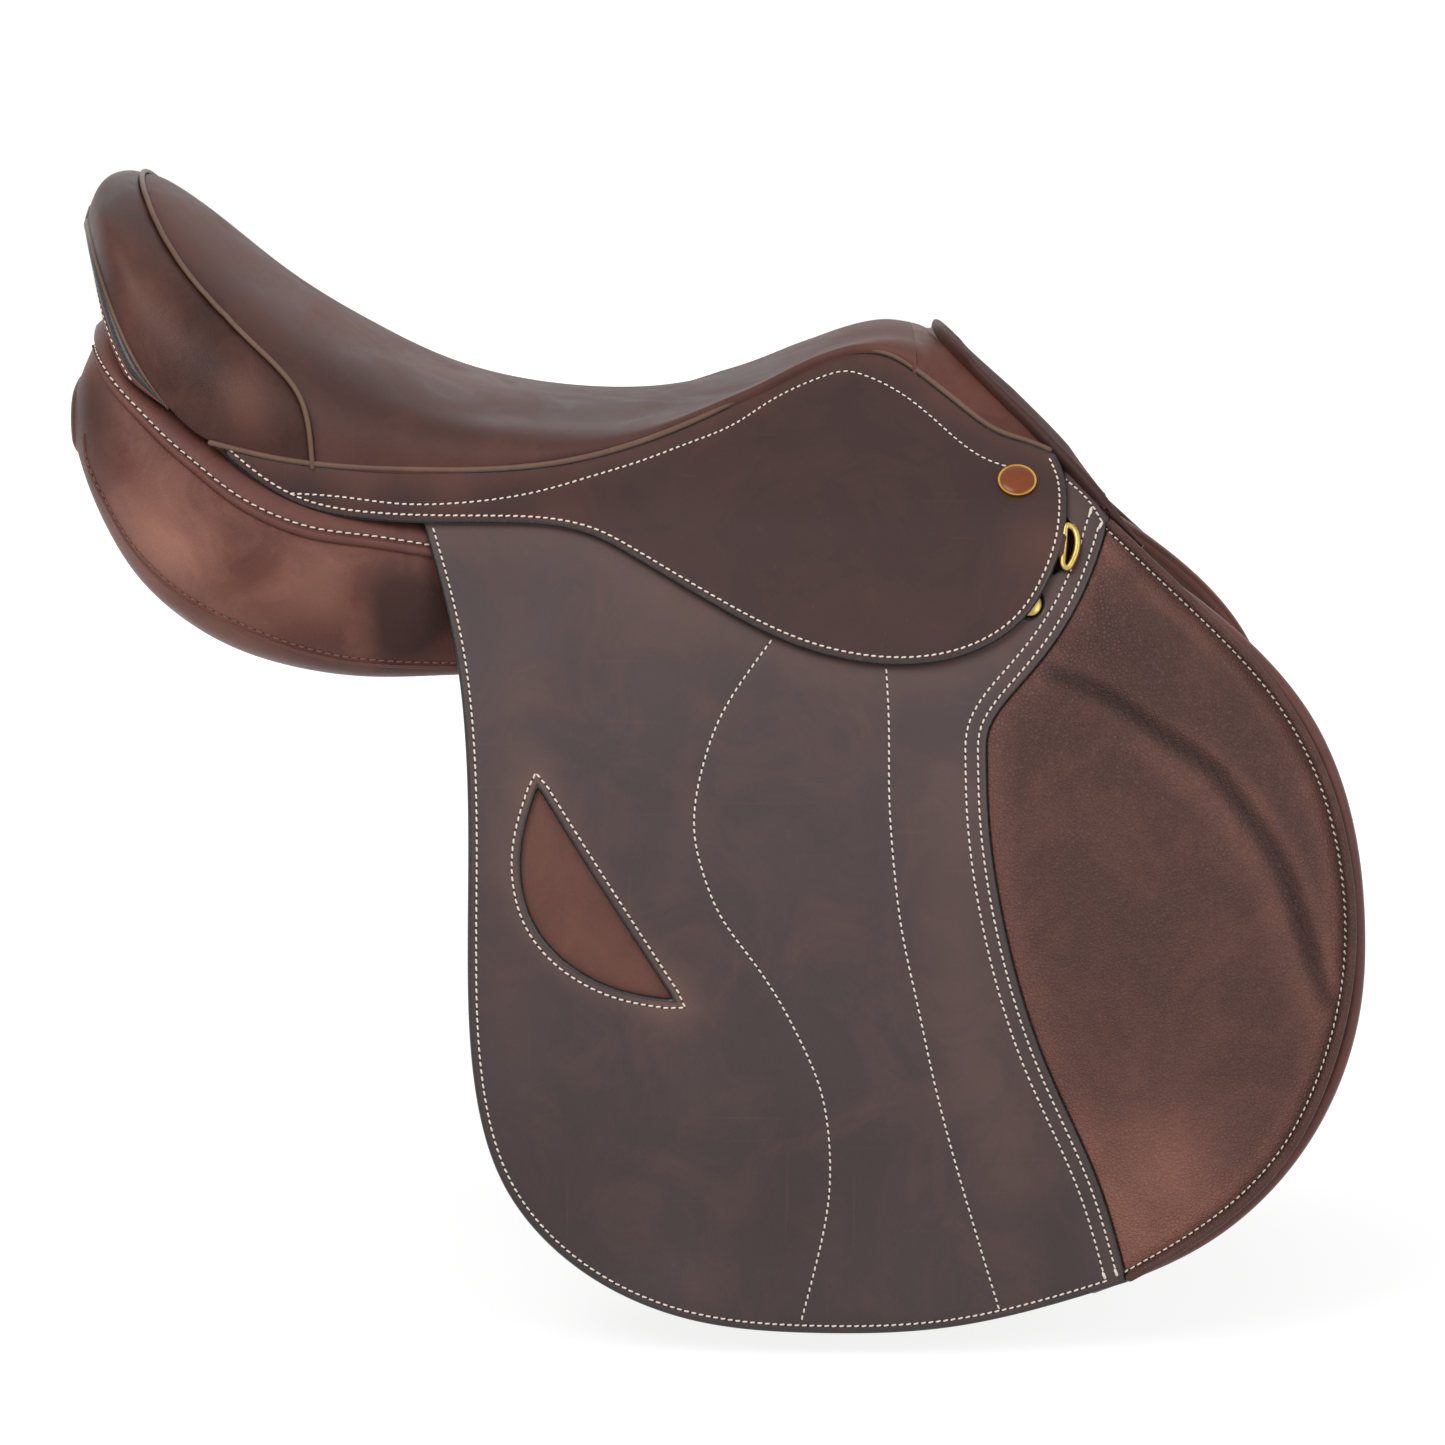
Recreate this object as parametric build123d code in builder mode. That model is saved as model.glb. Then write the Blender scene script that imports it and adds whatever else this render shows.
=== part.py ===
"""English jumping saddle, 17.5 inch seat, in millimetres.

+X points to the horse's head, +Y to the saddle's left side and +Z up. The origin lies on the
midplane, below the deepest point of the seat, on the plane that the rear panels bear on.
The right half is modelled at negative Y and the left half is its mirror image.

From the inside out, each side is a stack of layers. A layer is given by its distance outwards
(along Y) from the side surface that the panel and the tree point lie under.
"""
import os

from build123d import *

os.makedirs("parts", exist_ok=True)

# ---------------------------------------------------------------- driving dimensions
# Side surface: half-width of the horse-shaped form under the flaps, and its heights.
SKIRT_HINGE_Z = 68.0
SKIRT_HINGE_HALF_WIDTH = 98.0
FLAP_HINGE_Z = 8.0
FLAP_HINGE_HALF_WIDTH = 123.0
KNEE_Z = -100.0
FLAP_BOTTOM_Z = -282.0
FLARE_HEIGHT = 20.0
REAR_SLOPE = -0.02
FRONT_SLOPE = 0.93
TWIST_REAR_X = -20.0
TWIST_FRONT_X = 100.0

# Leather and layer thicknesses.
FLAP_LEATHER = 4.0
LINING_LEATHER = 2.0
SWEAT_LEATHER = 3.0
BILLET_LEATHER = 3.0
SEAT_LEATHER = 3.0
WEB = 2.0
SOFT_GAP = 0.4
HINGE_GAP = 0.5

# Layers outwards from the side surface.
SWEAT_IN = 0.0
SWEAT_OUT = SWEAT_IN + SWEAT_LEATHER
BILLET_IN = SWEAT_OUT + SOFT_GAP
BILLET_OUT = BILLET_IN + BILLET_LEATHER
LINING_IN = 9.0
FLAP_IN = LINING_IN + LINING_LEATHER
FLAP_OUT = FLAP_IN + FLAP_LEATHER
PAD_OUT = FLAP_OUT + 2.0
SKIRT_IN = FLAP_OUT + SOFT_GAP
SKIRT_OUT = SKIRT_IN + FLAP_LEATHER
TREE_OUT = -2.5
TREE_IN = TREE_OUT - 11.5
PLATE = 3.0
PANEL_OUT = -SOFT_GAP
REACH = 260.0

# ---------------------------------------------------------------- side surface


def flare(x):
    """How steeply the side leans in above the skirt hinge: upright behind, sloping at the head."""
    t = (x - TWIST_REAR_X) / (TWIST_FRONT_X - TWIST_REAR_X)
    t = max(0.0, min(1.0, t))
    return REAR_SLOPE + (FRONT_SLOPE - REAR_SLOPE) * t * t * (3 - 2 * t)


LOWER_SLOPE = (FLAP_HINGE_HALF_WIDTH - SKIRT_HINGE_HALF_WIDTH) / (SKIRT_HINGE_Z - FLAP_HINGE_Z)


def half_width(x, z, out=0.0):
    """Half-width of the layer that lies `out` outside the side surface, at length x and height z."""
    if z >= SKIRT_HINGE_Z:
        rise = z - SKIRT_HINGE_Z
        bend = min(rise, FLARE_HEIGHT)
        inset = LOWER_SLOPE * bend + (flare(x) - LOWER_SLOPE) * bend * bend / (2 * FLARE_HEIGHT)
        return SKIRT_HINGE_HALF_WIDTH + out - inset - flare(x) * (rise - bend)
    if z >= FLAP_HINGE_Z:
        return SKIRT_HINGE_HALF_WIDTH + out + LOWER_SLOPE * (SKIRT_HINGE_Z - z)
    drop = min(FLAP_HINGE_Z - z, FLAP_HINGE_Z - KNEE_Z)
    return FLAP_HINGE_HALF_WIDTH + out + LOWER_SLOPE * (drop - drop * drop / (2 * (FLAP_HINGE_Z - KNEE_Z)))


LAYER_TOP = 158.0
LAYER_BOTTOM = FLAP_BOTTOM_Z - 10.0
LAYER_STATIONS = (-250.0, -20.0, 10.0, 40.0, 70.0, 100.0, 360.0)


def side_layer(inner, outer, stations=LAYER_STATIONS):
    """The right side's curved slab between two distances from the side surface."""

    def corner(x, z, out):
        return (-half_width(x, z, out), z)

    shoulder = SKIRT_HINGE_Z + FLARE_HEIGHT
    with BuildPart() as layer:
        for x in stations:
            with BuildSketch(Plane.YZ.offset(x)):
                with BuildLine():
                    for out in (inner, outer):
                        Line(corner(x, LAYER_TOP, out), corner(x, shoulder, out))
                        bend_y = -(SKIRT_HINGE_HALF_WIDTH + out - LOWER_SLOPE * FLARE_HEIGHT / 2)
                        Bezier(
                            corner(x, shoulder, out),
                            (bend_y, SKIRT_HINGE_Z + FLARE_HEIGHT / 2),
                            corner(x, SKIRT_HINGE_Z, out),
                        )
                        Line(corner(x, SKIRT_HINGE_Z, out), corner(x, FLAP_HINGE_Z, out))
                        half_drop = (FLAP_HINGE_Z - KNEE_Z) / 2
                        knee_y = -(FLAP_HINGE_HALF_WIDTH + out + LOWER_SLOPE * half_drop)
                        Bezier(
                            corner(x, FLAP_HINGE_Z, out),
                            (knee_y, FLAP_HINGE_Z - half_drop),
                            corner(x, KNEE_Z, out),
                        )
                        Line(corner(x, KNEE_Z, out), corner(x, LAYER_BOTTOM, out))
                    Line(corner(x, LAYER_TOP, inner), corner(x, LAYER_TOP, outer))
                    Line(corner(x, LAYER_BOTTOM, inner), corner(x, LAYER_BOTTOM, outer))
                make_face()
        loft(ruled=True)
    return layer.part


def outline(*stretches):
    """A closed outline in side view. Two points make a straight stretch, more make a smooth one."""
    with BuildSketch(Plane.XZ) as sketch:
        with BuildLine():
            for stretch in stretches:
                if len(stretch) == 2:
                    Line(*stretch)
                else:
                    Spline(*stretch)
        make_face()
    return sketch.sketch


def rectangle(x_low, z_low, x_high, z_high):
    """A rectangle in side view."""
    with BuildSketch(Plane.XZ) as sketch:
        with Locations(((x_low + x_high) / 2, (z_low + z_high) / 2)):
            Rectangle(x_high - x_low, z_high - z_low)
    return sketch.sketch


def write(part, name):
    """Label one finished piece and write it."""
    part.label = name
    export_step(part, f"parts/{name}.step")


def write_pair(part, name):
    """Write a right-hand piece and its mirror image on the left."""
    write(part, f"{name}_right")
    write(mirror(part, about=Plane.XZ), f"{name}_left")


# ---------------------------------------------------------------- outlines in side view
# Welt between the seat and the skirt, from the cantle wing to the front of the skirt.
WELT = [(-166, 111), (-133, 103.5), (-82, 99.5), (-40, 99.5), (-8, 103), (25, 111), (58, 123), (84, 135),
        (104, 143.5), (121, 147), (136, 145), (152, 135.5), (168, 123.5), (184, 113), (198, 108.5), (209, 104)]
SKIRT_REAR = [(-166, 111), (-152, 98), (-128, 83), (-96, 76.5), (-42, 75), (4, 69.5)]
SKIRT_FRONT = [(209, 104), (212.5, 95), (213, 83), (211, 69)]
SKIRT_LOBE = [(4, 69), (19, 61.5), (59, 39), (91, 24), (132, 15.5), (165, 19), (193, 35), (206, 55), (211, 69)]
FLAP_REAR = [(-74, 78), (-67, 56), (-59, 26), (-55, 8)]
FLAP_EDGE = [(-55, 8), (-52, -34), (-52, -110), (-49, -172), (-37, -214), (-6, -251), (46, -276), (101, -282),
             (160, -278), (239, -255)]
MAIN_FRONT_TOP = [(214, 97), (226, 86.5), (232, 77), (227, 62), (217, 40), (205, 22), (189, 8)]
MAIN_FRONT = [(189, 8), (177, -8), (177, -40), (184, -98), (203, -160), (226, -212), (239, -255)]
PAD_FRONT_TOP = [(232, 77), (250, 60), (279, 33), (304, 8)]
PAD_FRONT = [(304, 8), (325, -31), (336, -74), (337.5, -118), (328, -164), (307, -202), (276, -232), (239, -255)]
FRONT_TOP = [(155, 153), (187, 124), (218, 96), (250, 66.5)]
SWEAT_FRONT = [(250, 66.5), (284, 35), (319, -9), (337, -56), (342, -98), (341, -130), (330, -172), (306, -211),
               (270, -242), (225, -262)]
SWEAT_EDGE = [(225, -262), (160, -269), (101, -271), (50, -266), (2, -244), (-28, -209), (-39, -170), (-42, -110),
              (-42, -34), (-42, 20)]
FRONT_ROLL_HEIGHT = 11.0


def shifted(points, dx, dz):
    """The same stretch, moved in side view."""
    return [(x + dx, z + dz) for x, z in points]


# ---------------------------------------------------------------- seat
# Stations from cantle to pommel: x, rim half-width and height, shoulder half-width and height,
# crown height, and the height of the underside over the gullet.
SEAT = [
    (-231.5, 16, 204, 10, 208, 210.5, 198),
    (-226, 46, 198, 30, 214, 220.5, 192),
    (-215, 83, 176, 54, 213, 226, 187),
    (-200, 101, 145.5, 67, 202, 223, 180),
    (-186, 107, 127, 77, 189, 214.5, 173),
    (-172, 111.5, 114.5, 86, 175, 204, 166),
    (-140, 114, 107, 98, 150, 178.5, 142),
    (-100, 114.5, 103, 97, 134, 154, 117.5),
    (-60, 114, 101.5, 93, 122, 135.5, 99),
    (-20, 112, 103.5, 86, 117, 126.5, 90),
    (20, 104, 111, 75, 118, 124.5, 88),
    (50, 89, 122, 60, 124, 128.5, 92),
    (80, 69, 135, 46, 135, 138.5, 102),
    (110, 53, 147.5, 38, 147.5, 151, 114),
    (135, 51, 147.5, 37, 152, 157, 119),
    (148, 58, 141, 37, 151, 155.5, 118),
]
UNDERSIDE_HALF_WIDTH = 30.0
SEAT_FRONT = 148.0


def seat_form(inset, under=0.0, rear=0.0, front=0.0, lift=0.0):
    """The seat's form, drawn in by `inset` and with its underside `under` lower."""
    with BuildPart() as form:
        for number, (x, rim, rim_z, shoulder, shoulder_z, crown_z, gullet_z) in enumerate(SEAT):
            if number == 0:
                x = x + rear
            if number == len(SEAT) - 1:
                x = x - front
            y_rim = rim - inset
            y_shoulder = shoulder - 0.6 * inset
            z_shoulder = shoulder_z - inset
            z_rim = min(rim_z, z_shoulder - 1.0) - under + lift
            bulge_y = y_shoulder + 0.72 * (y_rim - y_shoulder)
            bulge_z = z_shoulder - 0.36 * (z_shoulder - z_rim)
            inner = min(UNDERSIDE_HALF_WIDTH, 0.6 * y_rim)
            with BuildSketch(Plane.YZ.offset(x)):
                with BuildLine():
                    ThreePointArc((-y_rim, z_rim), (-bulge_y, bulge_z), (-y_shoulder, z_shoulder))
                    ThreePointArc((-y_shoulder, z_shoulder), (0, crown_z - inset), (y_shoulder, z_shoulder))
                    ThreePointArc((y_shoulder, z_shoulder), (bulge_y, bulge_z), (y_rim, z_rim))
                    Line((y_rim, z_rim), (inner, gullet_z - under))
                    Line((inner, gullet_z - under), (-inner, gullet_z - under))
                    Line((-inner, gullet_z - under), (-y_rim, z_rim))
                make_face()
        loft()
    return form.part


def profile(drop):
    """The seat's crown line over the tree, lowered by `drop`."""
    return [(x, crown - drop) for x, _, _, _, _, crown, _ in SEAT[2:]]


def crown_band(top_drop, bottom_drop):
    """A band under the crown line, as thick as the difference of its two drops, in side view."""
    top, bottom = profile(top_drop), profile(bottom_drop)
    return outline(top, [top[-1], bottom[-1]], bottom, [bottom[0], top[0]])


def plan(points):
    """A plan outline that is symmetrical about the midplane; its first and last points lie on it."""
    with BuildSketch(Plane.XY) as sketch:
        with BuildLine():
            Spline(*points)
            Spline(*[(x, -y) for x, y in points])
        make_face()
    return sketch.sketch


def hood(inner, outer, x_low, x_high, foot_z):
    """An arch over the horse's withers between two layers, from one foot to the other."""

    def side(z, out):
        return half_width(TWIST_FRONT_X, z, out)

    with BuildPart() as arch:
        with BuildSketch(Plane.YZ.offset(x_low)):
            with BuildLine():
                for out in (inner, outer):
                    shoulder = HOOD_SHOULDER_Z + 0.6 * out
                    y_shoulder = side(shoulder, out)
                    top = shoulder + HOOD_RISE
                    ThreePointArc((-y_shoulder, shoulder), (0, top), (y_shoulder, shoulder))
                    levels = [shoulder, *[z for z in HOOD_LEVELS if z > foot_z], foot_z]
                    for sign in (-1, 1):
                        for high, low in zip(levels, levels[1:]):
                            Line((sign * side(high, out), high), (sign * side(low, out), low))
                for sign in (-1, 1):
                    Line((sign * side(foot_z, inner), foot_z), (sign * side(foot_z, outer), foot_z))
            make_face()
        extrude(amount=x_high - x_low)
    return arch.part


HOOD_SHOULDER_Z = 134.0
HOOD_RISE = 12.0
HOOD_LEVELS = (SKIRT_HINGE_Z + FLARE_HEIGHT, SKIRT_HINGE_Z + FLARE_HEIGHT / 2, SKIRT_HINGE_Z)

# ---------------------------------------------------------------- seat covers
PIPING_WIDTH = 3.0
PIPING_PROUD = 1.0
PIPING_CURVE = [(-207, 0), (-204, 30), (-196, 55), (-185, 73), (-168, 87), (-148, 98), (-130, 107), (-118, 118),
                (-112, 135)]
seat_outer = seat_form(0)
seat_inner = seat_form(SEAT_LEATHER, under=6.0, rear=SEAT_LEATHER, front=SEAT_LEATHER)
seat_hump = seat_form(-PIPING_PROUD, lift=1.5)


def seat_centre(grow):
    """Plan of the seat's centre panel, with its curved edge moved outwards by `grow`."""
    edge = [(x - grow, y) if y < 60 else (x - 0.6 * grow, y + 0.8 * grow) for x, y in PIPING_CURVE]
    end_x, end_y = edge[-1]
    with BuildSketch(Plane.XY) as sketch:
        with BuildLine():
            Spline(*edge)
            Spline(*[(x, -y) for x, y in edge])
            Polyline((end_x, end_y), (end_x + 2, REACH), (REACH, REACH), (REACH, -REACH), (end_x + 2, -REACH),
                     (end_x, -end_y))
        make_face()
    return sketch.sketch


centre_inner = seat_centre(-PIPING_WIDTH / 2)
centre_outer = seat_centre(PIPING_WIDTH / 2)

with BuildPart() as seat_cover:
    add(seat_outer)
    add(seat_inner, mode=Mode.SUBTRACT)
    extrude(centre_inner, amount=REACH, mode=Mode.INTERSECT)
write(seat_cover.part, "seat_cover")

with BuildPart() as cantle_facing:
    add(seat_outer)
    add(seat_inner, mode=Mode.SUBTRACT)
    extrude(centre_outer, amount=REACH, mode=Mode.SUBTRACT)
write(cantle_facing.part, "cantle_facing")

with BuildPart() as seat_piping:
    add(seat_hump)
    add(seat_inner, mode=Mode.SUBTRACT)
    extrude(centre_outer, amount=REACH, mode=Mode.INTERSECT)
    extrude(centre_inner, amount=REACH, mode=Mode.SUBTRACT)
write(seat_piping.part, "seat_piping")

# ---------------------------------------------------------------- tree, its plates and its webs
TREE_DROP = 24.0
TREE_THICK = 12.0
TREE_PLAN = [(-212, 0), (-200, 50), (-172, 70), (-130, 73), (-80, 66), (-20, 57), (40, 48), (90, 38), (134, 34),
             (146, 0)]
TREE_HOLE = [(-160, 0), (-152, 30), (-125, 42), (-80, 41), (-20, 34), (40, 27), (84, 17), (96, 0)]
HEAD_REAR_X = 118.0
HEAD_FRONT_X = 146.0
HEAD_STATIONS = (100.0, 160.0)
POINT_FOOT_Z = 16.0

gullet_plate_form = hood(TREE_IN - PLATE, TREE_IN, HEAD_REAR_X + 4, HEAD_FRONT_X - 2, 40.0)
with BuildPart() as tree:
    extrude(crown_band(TREE_DROP, TREE_DROP + TREE_THICK), amount=REACH, both=True)
    extrude(plan(TREE_PLAN), amount=REACH, mode=Mode.INTERSECT)
    extrude(plan(TREE_HOLE), amount=REACH, mode=Mode.SUBTRACT)
    add(hood(TREE_IN, TREE_OUT, HEAD_REAR_X, HEAD_FRONT_X, POINT_FOOT_Z))
    add(gullet_plate_form, mode=Mode.SUBTRACT)
    add(seat_cover.part, mode=Mode.SUBTRACT)

with BuildPart() as head_plate:
    add(hood(TREE_OUT, TREE_OUT + PLATE, HEAD_REAR_X + 6, HEAD_FRONT_X - 4, 84.0))

SPRING_WIDTH = 18.0
SPRING_PLAN = [(-178, 42), (-130, 49), (-80, 45), (-20, 37), (40, 29), (96, 19)]
with BuildSketch(Plane.XY) as spring_plan:
    for side in (-1, 1):
        with BuildLine():
            near = [(x, side * y) for x, y in SPRING_PLAN]
            far = [(x, side * (y + SPRING_WIDTH)) for x, y in SPRING_PLAN]
            Spline(*near)
            Spline(*far)
            Line(near[0], far[0])
            Line(near[-1], far[-1])
        make_face()
with BuildPart() as spring_steels:
    extrude(crown_band(TREE_DROP - WEB, TREE_DROP), amount=REACH, both=True)
    extrude(spring_plan.sketch, amount=REACH, mode=Mode.INTERSECT)
write(spring_steels.part, "spring_steels")

WEB_STATIONS = ((-30.0, 34.0), (44.0, 34.0))
WEB_HALF_WIDTH = 62.0
with BuildPart() as seat_webs:
    extrude(crown_band(TREE_DROP - 2 * WEB, TREE_DROP - WEB), amount=REACH, both=True)
    with BuildSketch(Plane.XY):
        for x, width in WEB_STATIONS:
            with Locations((x, 0)):
                Rectangle(width, 2 * WEB_HALF_WIDTH)
        with Locations((-20, 0)):
            Rectangle(250, 24)
    extrude(amount=REACH, mode=Mode.INTERSECT)
write(seat_webs.part, "seat_webs")

with BuildPart() as tree_room:
    extrude(crown_band(TREE_DROP - 2 * WEB, TREE_DROP + 3 * TREE_THICK), amount=REACH, both=True)
    extrude(plan(TREE_PLAN), amount=REACH, mode=Mode.INTERSECT)
    add(hood(TREE_IN - 60, TREE_OUT + PLATE + SOFT_GAP, HEAD_REAR_X - 1, HEAD_FRONT_X + 1, POINT_FOOT_Z))
with BuildPart() as seat_foam:
    add(seat_form(SEAT_LEATHER + SOFT_GAP, under=6.0, rear=SEAT_LEATHER + 1, front=SEAT_LEATHER + 1))
    add(seat_outer, mode=Mode.INTERSECT)
    add(tree_room.part, mode=Mode.SUBTRACT)
    add(seat_webs.part, mode=Mode.SUBTRACT)
    add(spring_steels.part, mode=Mode.SUBTRACT)
write(seat_foam.part, "seat_foam")

# ---------------------------------------------------------------- skirts and their welts
WELT_HEIGHT = 4.0
skirt_layer = side_layer(SKIRT_IN, SKIRT_OUT)
welt_low = shifted(WELT, 0, -WELT_HEIGHT / 2)
welt_high = shifted(WELT, 0, WELT_HEIGHT / 2)

with BuildPart() as skirt_welt:
    add(side_layer(SKIRT_IN - 1.0, SKIRT_OUT + 1.2))
    extrude(outline(welt_low, [welt_low[-1], welt_high[-1]], welt_high, [welt_high[0], welt_low[0]]), amount=REACH,
            mode=Mode.INTERSECT)
    add(seat_outer, mode=Mode.SUBTRACT)

skirt_high = shifted(WELT, 0, -WELT_HEIGHT / 2 - 0.1)
hinge_rear = (SKIRT_LOBE[0][0], SKIRT_HINGE_Z + HINGE_GAP)
hinge_front = (SKIRT_LOBE[-1][0], SKIRT_HINGE_Z + HINGE_GAP)
with BuildPart() as skirt_top:
    add(skirt_layer)
    extrude(outline(skirt_high, [skirt_high[-1], SKIRT_FRONT[1], SKIRT_FRONT[2], hinge_front],
                    [hinge_front, hinge_rear], [hinge_rear, *SKIRT_REAR[-2:0:-1], skirt_high[0]]),
            amount=REACH, mode=Mode.INTERSECT)
    add(seat_outer, mode=Mode.SUBTRACT)

lobe = [(SKIRT_LOBE[0][0], SKIRT_HINGE_Z - HINGE_GAP), *SKIRT_LOBE[1:-1],
        (SKIRT_LOBE[-1][0], SKIRT_HINGE_Z - HINGE_GAP)]
with BuildPart() as skirt:
    add(skirt_layer)
    extrude(outline(lobe, [lobe[-1], lobe[0]]), amount=REACH, mode=Mode.INTERSECT)
write_pair(skirt.part, "skirt")

# ---------------------------------------------------------------- flaps, their linings and knee pads
BAR_WINDOW = (82.0, 30.0, 152.0, 66.0)
DEE_WINDOW = (194.5, 57.5, 217.5, 71.5)
FLAP_STUD = (196.3, 40.3)
FLAP_STUD_RADIUS = 6.0
SLOT_TOP = (-21.0, -37.0)
SLOT_BELLY = (-22.0, -97.0)
SLOT_FOOT = (38.0, -130.0)

flap_layer = side_layer(FLAP_IN, FLAP_OUT)
lining_layer = side_layer(LINING_IN, FLAP_IN)
pad_layer = side_layer(FLAP_IN, PAD_OUT)
above, below = FLAP_HINGE_Z + HINGE_GAP, FLAP_HINGE_Z - HINGE_GAP

flap_top_high = [(-74, 78), (-30, 84), (30, 92), (70, 108), (110, 118), (150, 108), (190, 98), MAIN_FRONT_TOP[0]]
with BuildPart() as flap_top:
    add(flap_layer)
    extrude(outline(flap_top_high, MAIN_FRONT_TOP[:-1] + [(MAIN_FRONT_TOP[-1][0], above)],
                    [(MAIN_FRONT_TOP[-1][0], above), (FLAP_REAR[-1][0], above)],
                    [(FLAP_REAR[-1][0], above), *FLAP_REAR[-2::-1]]), amount=REACH, mode=Mode.INTERSECT)
    extrude(rectangle(*BAR_WINDOW), amount=REACH, mode=Mode.SUBTRACT)
    extrude(rectangle(*DEE_WINDOW), amount=REACH, mode=Mode.SUBTRACT)
    with BuildSketch(Plane.XZ):
        with Locations(FLAP_STUD):
            Circle(FLAP_STUD_RADIUS + 0.1)
    extrude(amount=REACH, mode=Mode.SUBTRACT)
    add(seat_outer, mode=Mode.SUBTRACT)

main_edge = [(FLAP_EDGE[0][0], below), *FLAP_EDGE[1:]]
main_front = [(MAIN_FRONT[0][0], below), *MAIN_FRONT[1:]]
with BuildSketch(Plane.XZ) as flap_slot:
    with BuildLine():
        ThreePointArc(SLOT_TOP, SLOT_BELLY, SLOT_FOOT)
        Line(SLOT_FOOT, SLOT_TOP)
    make_face()
with BuildPart() as flap:
    add(flap_layer)
    extrude(outline(main_edge, main_front[::-1], [main_front[0], main_edge[0]]), amount=REACH, mode=Mode.INTERSECT)
    extrude(flap_slot.sketch, amount=REACH, mode=Mode.SUBTRACT)
write_pair(flap.part, "flap")

pad_front = [(PAD_FRONT[0][0], below), *PAD_FRONT[1:]]
with BuildPart() as knee_pad:
    add(pad_layer)
    extrude(outline(pad_front, main_front[::-1], [main_front[0], pad_front[0]]), amount=REACH, mode=Mode.INTERSECT)
write_pair(knee_pad.part, "knee_pad")

pad_top_front = PAD_FRONT_TOP[:-1] + [(PAD_FRONT_TOP[-1][0], above)]
pad_top_rear = MAIN_FRONT_TOP[2:-1] + [(MAIN_FRONT_TOP[-1][0], above)]
with BuildPart() as knee_pad_top:
    add(pad_layer)
    extrude(outline(pad_top_front, pad_top_rear, [pad_top_front[-1], pad_top_rear[-1]]), amount=REACH,
            mode=Mode.INTERSECT)
    extrude(rectangle(*DEE_WINDOW), amount=REACH, mode=Mode.SUBTRACT)

lining_edge = [(-47, below), (-44, -34), (-44, -110), (-41, -170), (-30, -210), (0, -244), (48, -267), (101, -272),
               (160, -269), (228, -252)]
lining_front = [(293, below), (312, -34), (322, -76), (323, -118), (314, -160), (294, -194), (265, -222),
                (228, -252)]
with BuildPart() as flap_lining:
    add(lining_layer)
    extrude(outline(lining_edge, lining_front[::-1], [lining_front[0], lining_edge[0]]), amount=REACH,
            mode=Mode.INTERSECT)
write_pair(flap_lining.part, "flap_lining")

# ---------------------------------------------------------------- sweat flap and knee block
with BuildPart() as sweat_flap:
    add(side_layer(SWEAT_IN, SWEAT_OUT))
    extrude(outline(SWEAT_FRONT, SWEAT_EDGE, [SWEAT_EDGE[-1], (70, 20)], [(70, 20), (185, 20)],
                    [(185, 20), (190, 90)], [(190, 90), (198, 106)], [(198, 106), (240, 66.5)],
                    [(240, 66.5), SWEAT_FRONT[0]]),
            amount=REACH, mode=Mode.INTERSECT)

roll_inner = [(238, 66.5), (272, 33), (307, -12), (324, -57), (330, -98), (329, -129), (319, -168), (297, -204),
              (264, -233), (225, -254)]
with BuildPart() as edge_roll:
    add(side_layer(SWEAT_OUT, SWEAT_OUT + FRONT_ROLL_HEIGHT - 4))
    extrude(outline(SWEAT_FRONT, [SWEAT_FRONT[-1], roll_inner[-1]], roll_inner, [roll_inner[0], SWEAT_FRONT[0]]),
            amount=REACH, mode=Mode.INTERSECT)
write_pair(edge_roll.part, "edge_roll")

with BuildPart() as knee_block:
    add(side_layer(SWEAT_OUT, LINING_IN - SOFT_GAP))
    extrude(outline([(262, -8), (293, -20), (310, -60), (312, -100)], [(312, -100), (290, -104)],
                    [(290, -104), (282, -62), (262, -36)], [(262, -36), (262, -8)]), amount=REACH,
            mode=Mode.INTERSECT)
write_pair(knee_block.part, "knee_block")

# ---------------------------------------------------------------- pommel facing and front roll
FRONT_ROLL_FOOT_Z = 60.0
with BuildPart() as front_roll:
    add(hood(-10.0, SKIRT_IN + 1.5, 140.0, 262.0, FRONT_ROLL_FOOT_Z))
    roll_low = [(148, 146), *shifted(FRONT_TOP, -6, -6)[1:]]
    extrude(outline([(148, 158), *shifted(FRONT_TOP, 1, 1)[1:]], [(251, 67.5), (244, 60.5)], roll_low,
                    [(148, 146), (148, 158)]), amount=REACH, both=True, mode=Mode.INTERSECT)

with BuildPart() as pommel_facing:
    add(hood(SWEAT_OUT + SOFT_GAP, FLAP_OUT - SOFT_GAP, SEAT_FRONT + 0.3, 262.0, SKIRT_HINGE_Z))
    extrude(outline([(140, 158), (148.4, 146), (180.6, 117.6), (211.6, 89.6), (236, 68)], [(236, 68), (190, 68)],
                    [(190, 68), (140, 68)], [(140, 68), (140, 158)]), amount=REACH, both=True,
            mode=Mode.INTERSECT)
    add(front_roll.part, mode=Mode.SUBTRACT)
    add(flap_top.part, mode=Mode.SUBTRACT)
    add(mirror(flap_top.part, about=Plane.XZ), mode=Mode.SUBTRACT)
    extrude(rectangle(*DEE_WINDOW), amount=REACH, both=True, mode=Mode.SUBTRACT)

# ---------------------------------------------------------------- stirrup bars, catches and rivets
BAR_LOW_Z = 43.0
BAR_HIGH_Z = 53.0
BAR_IN = 114.2
BAR_OUT = 118.7
CATCH_IN = BAR_IN - 0.3
BAR_REAR_X = 104.0
BAR_ARM_X = 137.0
CATCH_PIVOT = (100.0, 48.0)
CATCH_TIP_Z = 55.5
CATCH_RADIUS = 3.6
CATCH_TIP_RADIUS = 3.0
CATCH_PIN_RADIUS = 1.5
PIN_CLEARANCE = 0.1
CHEEK = 1.6


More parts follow.
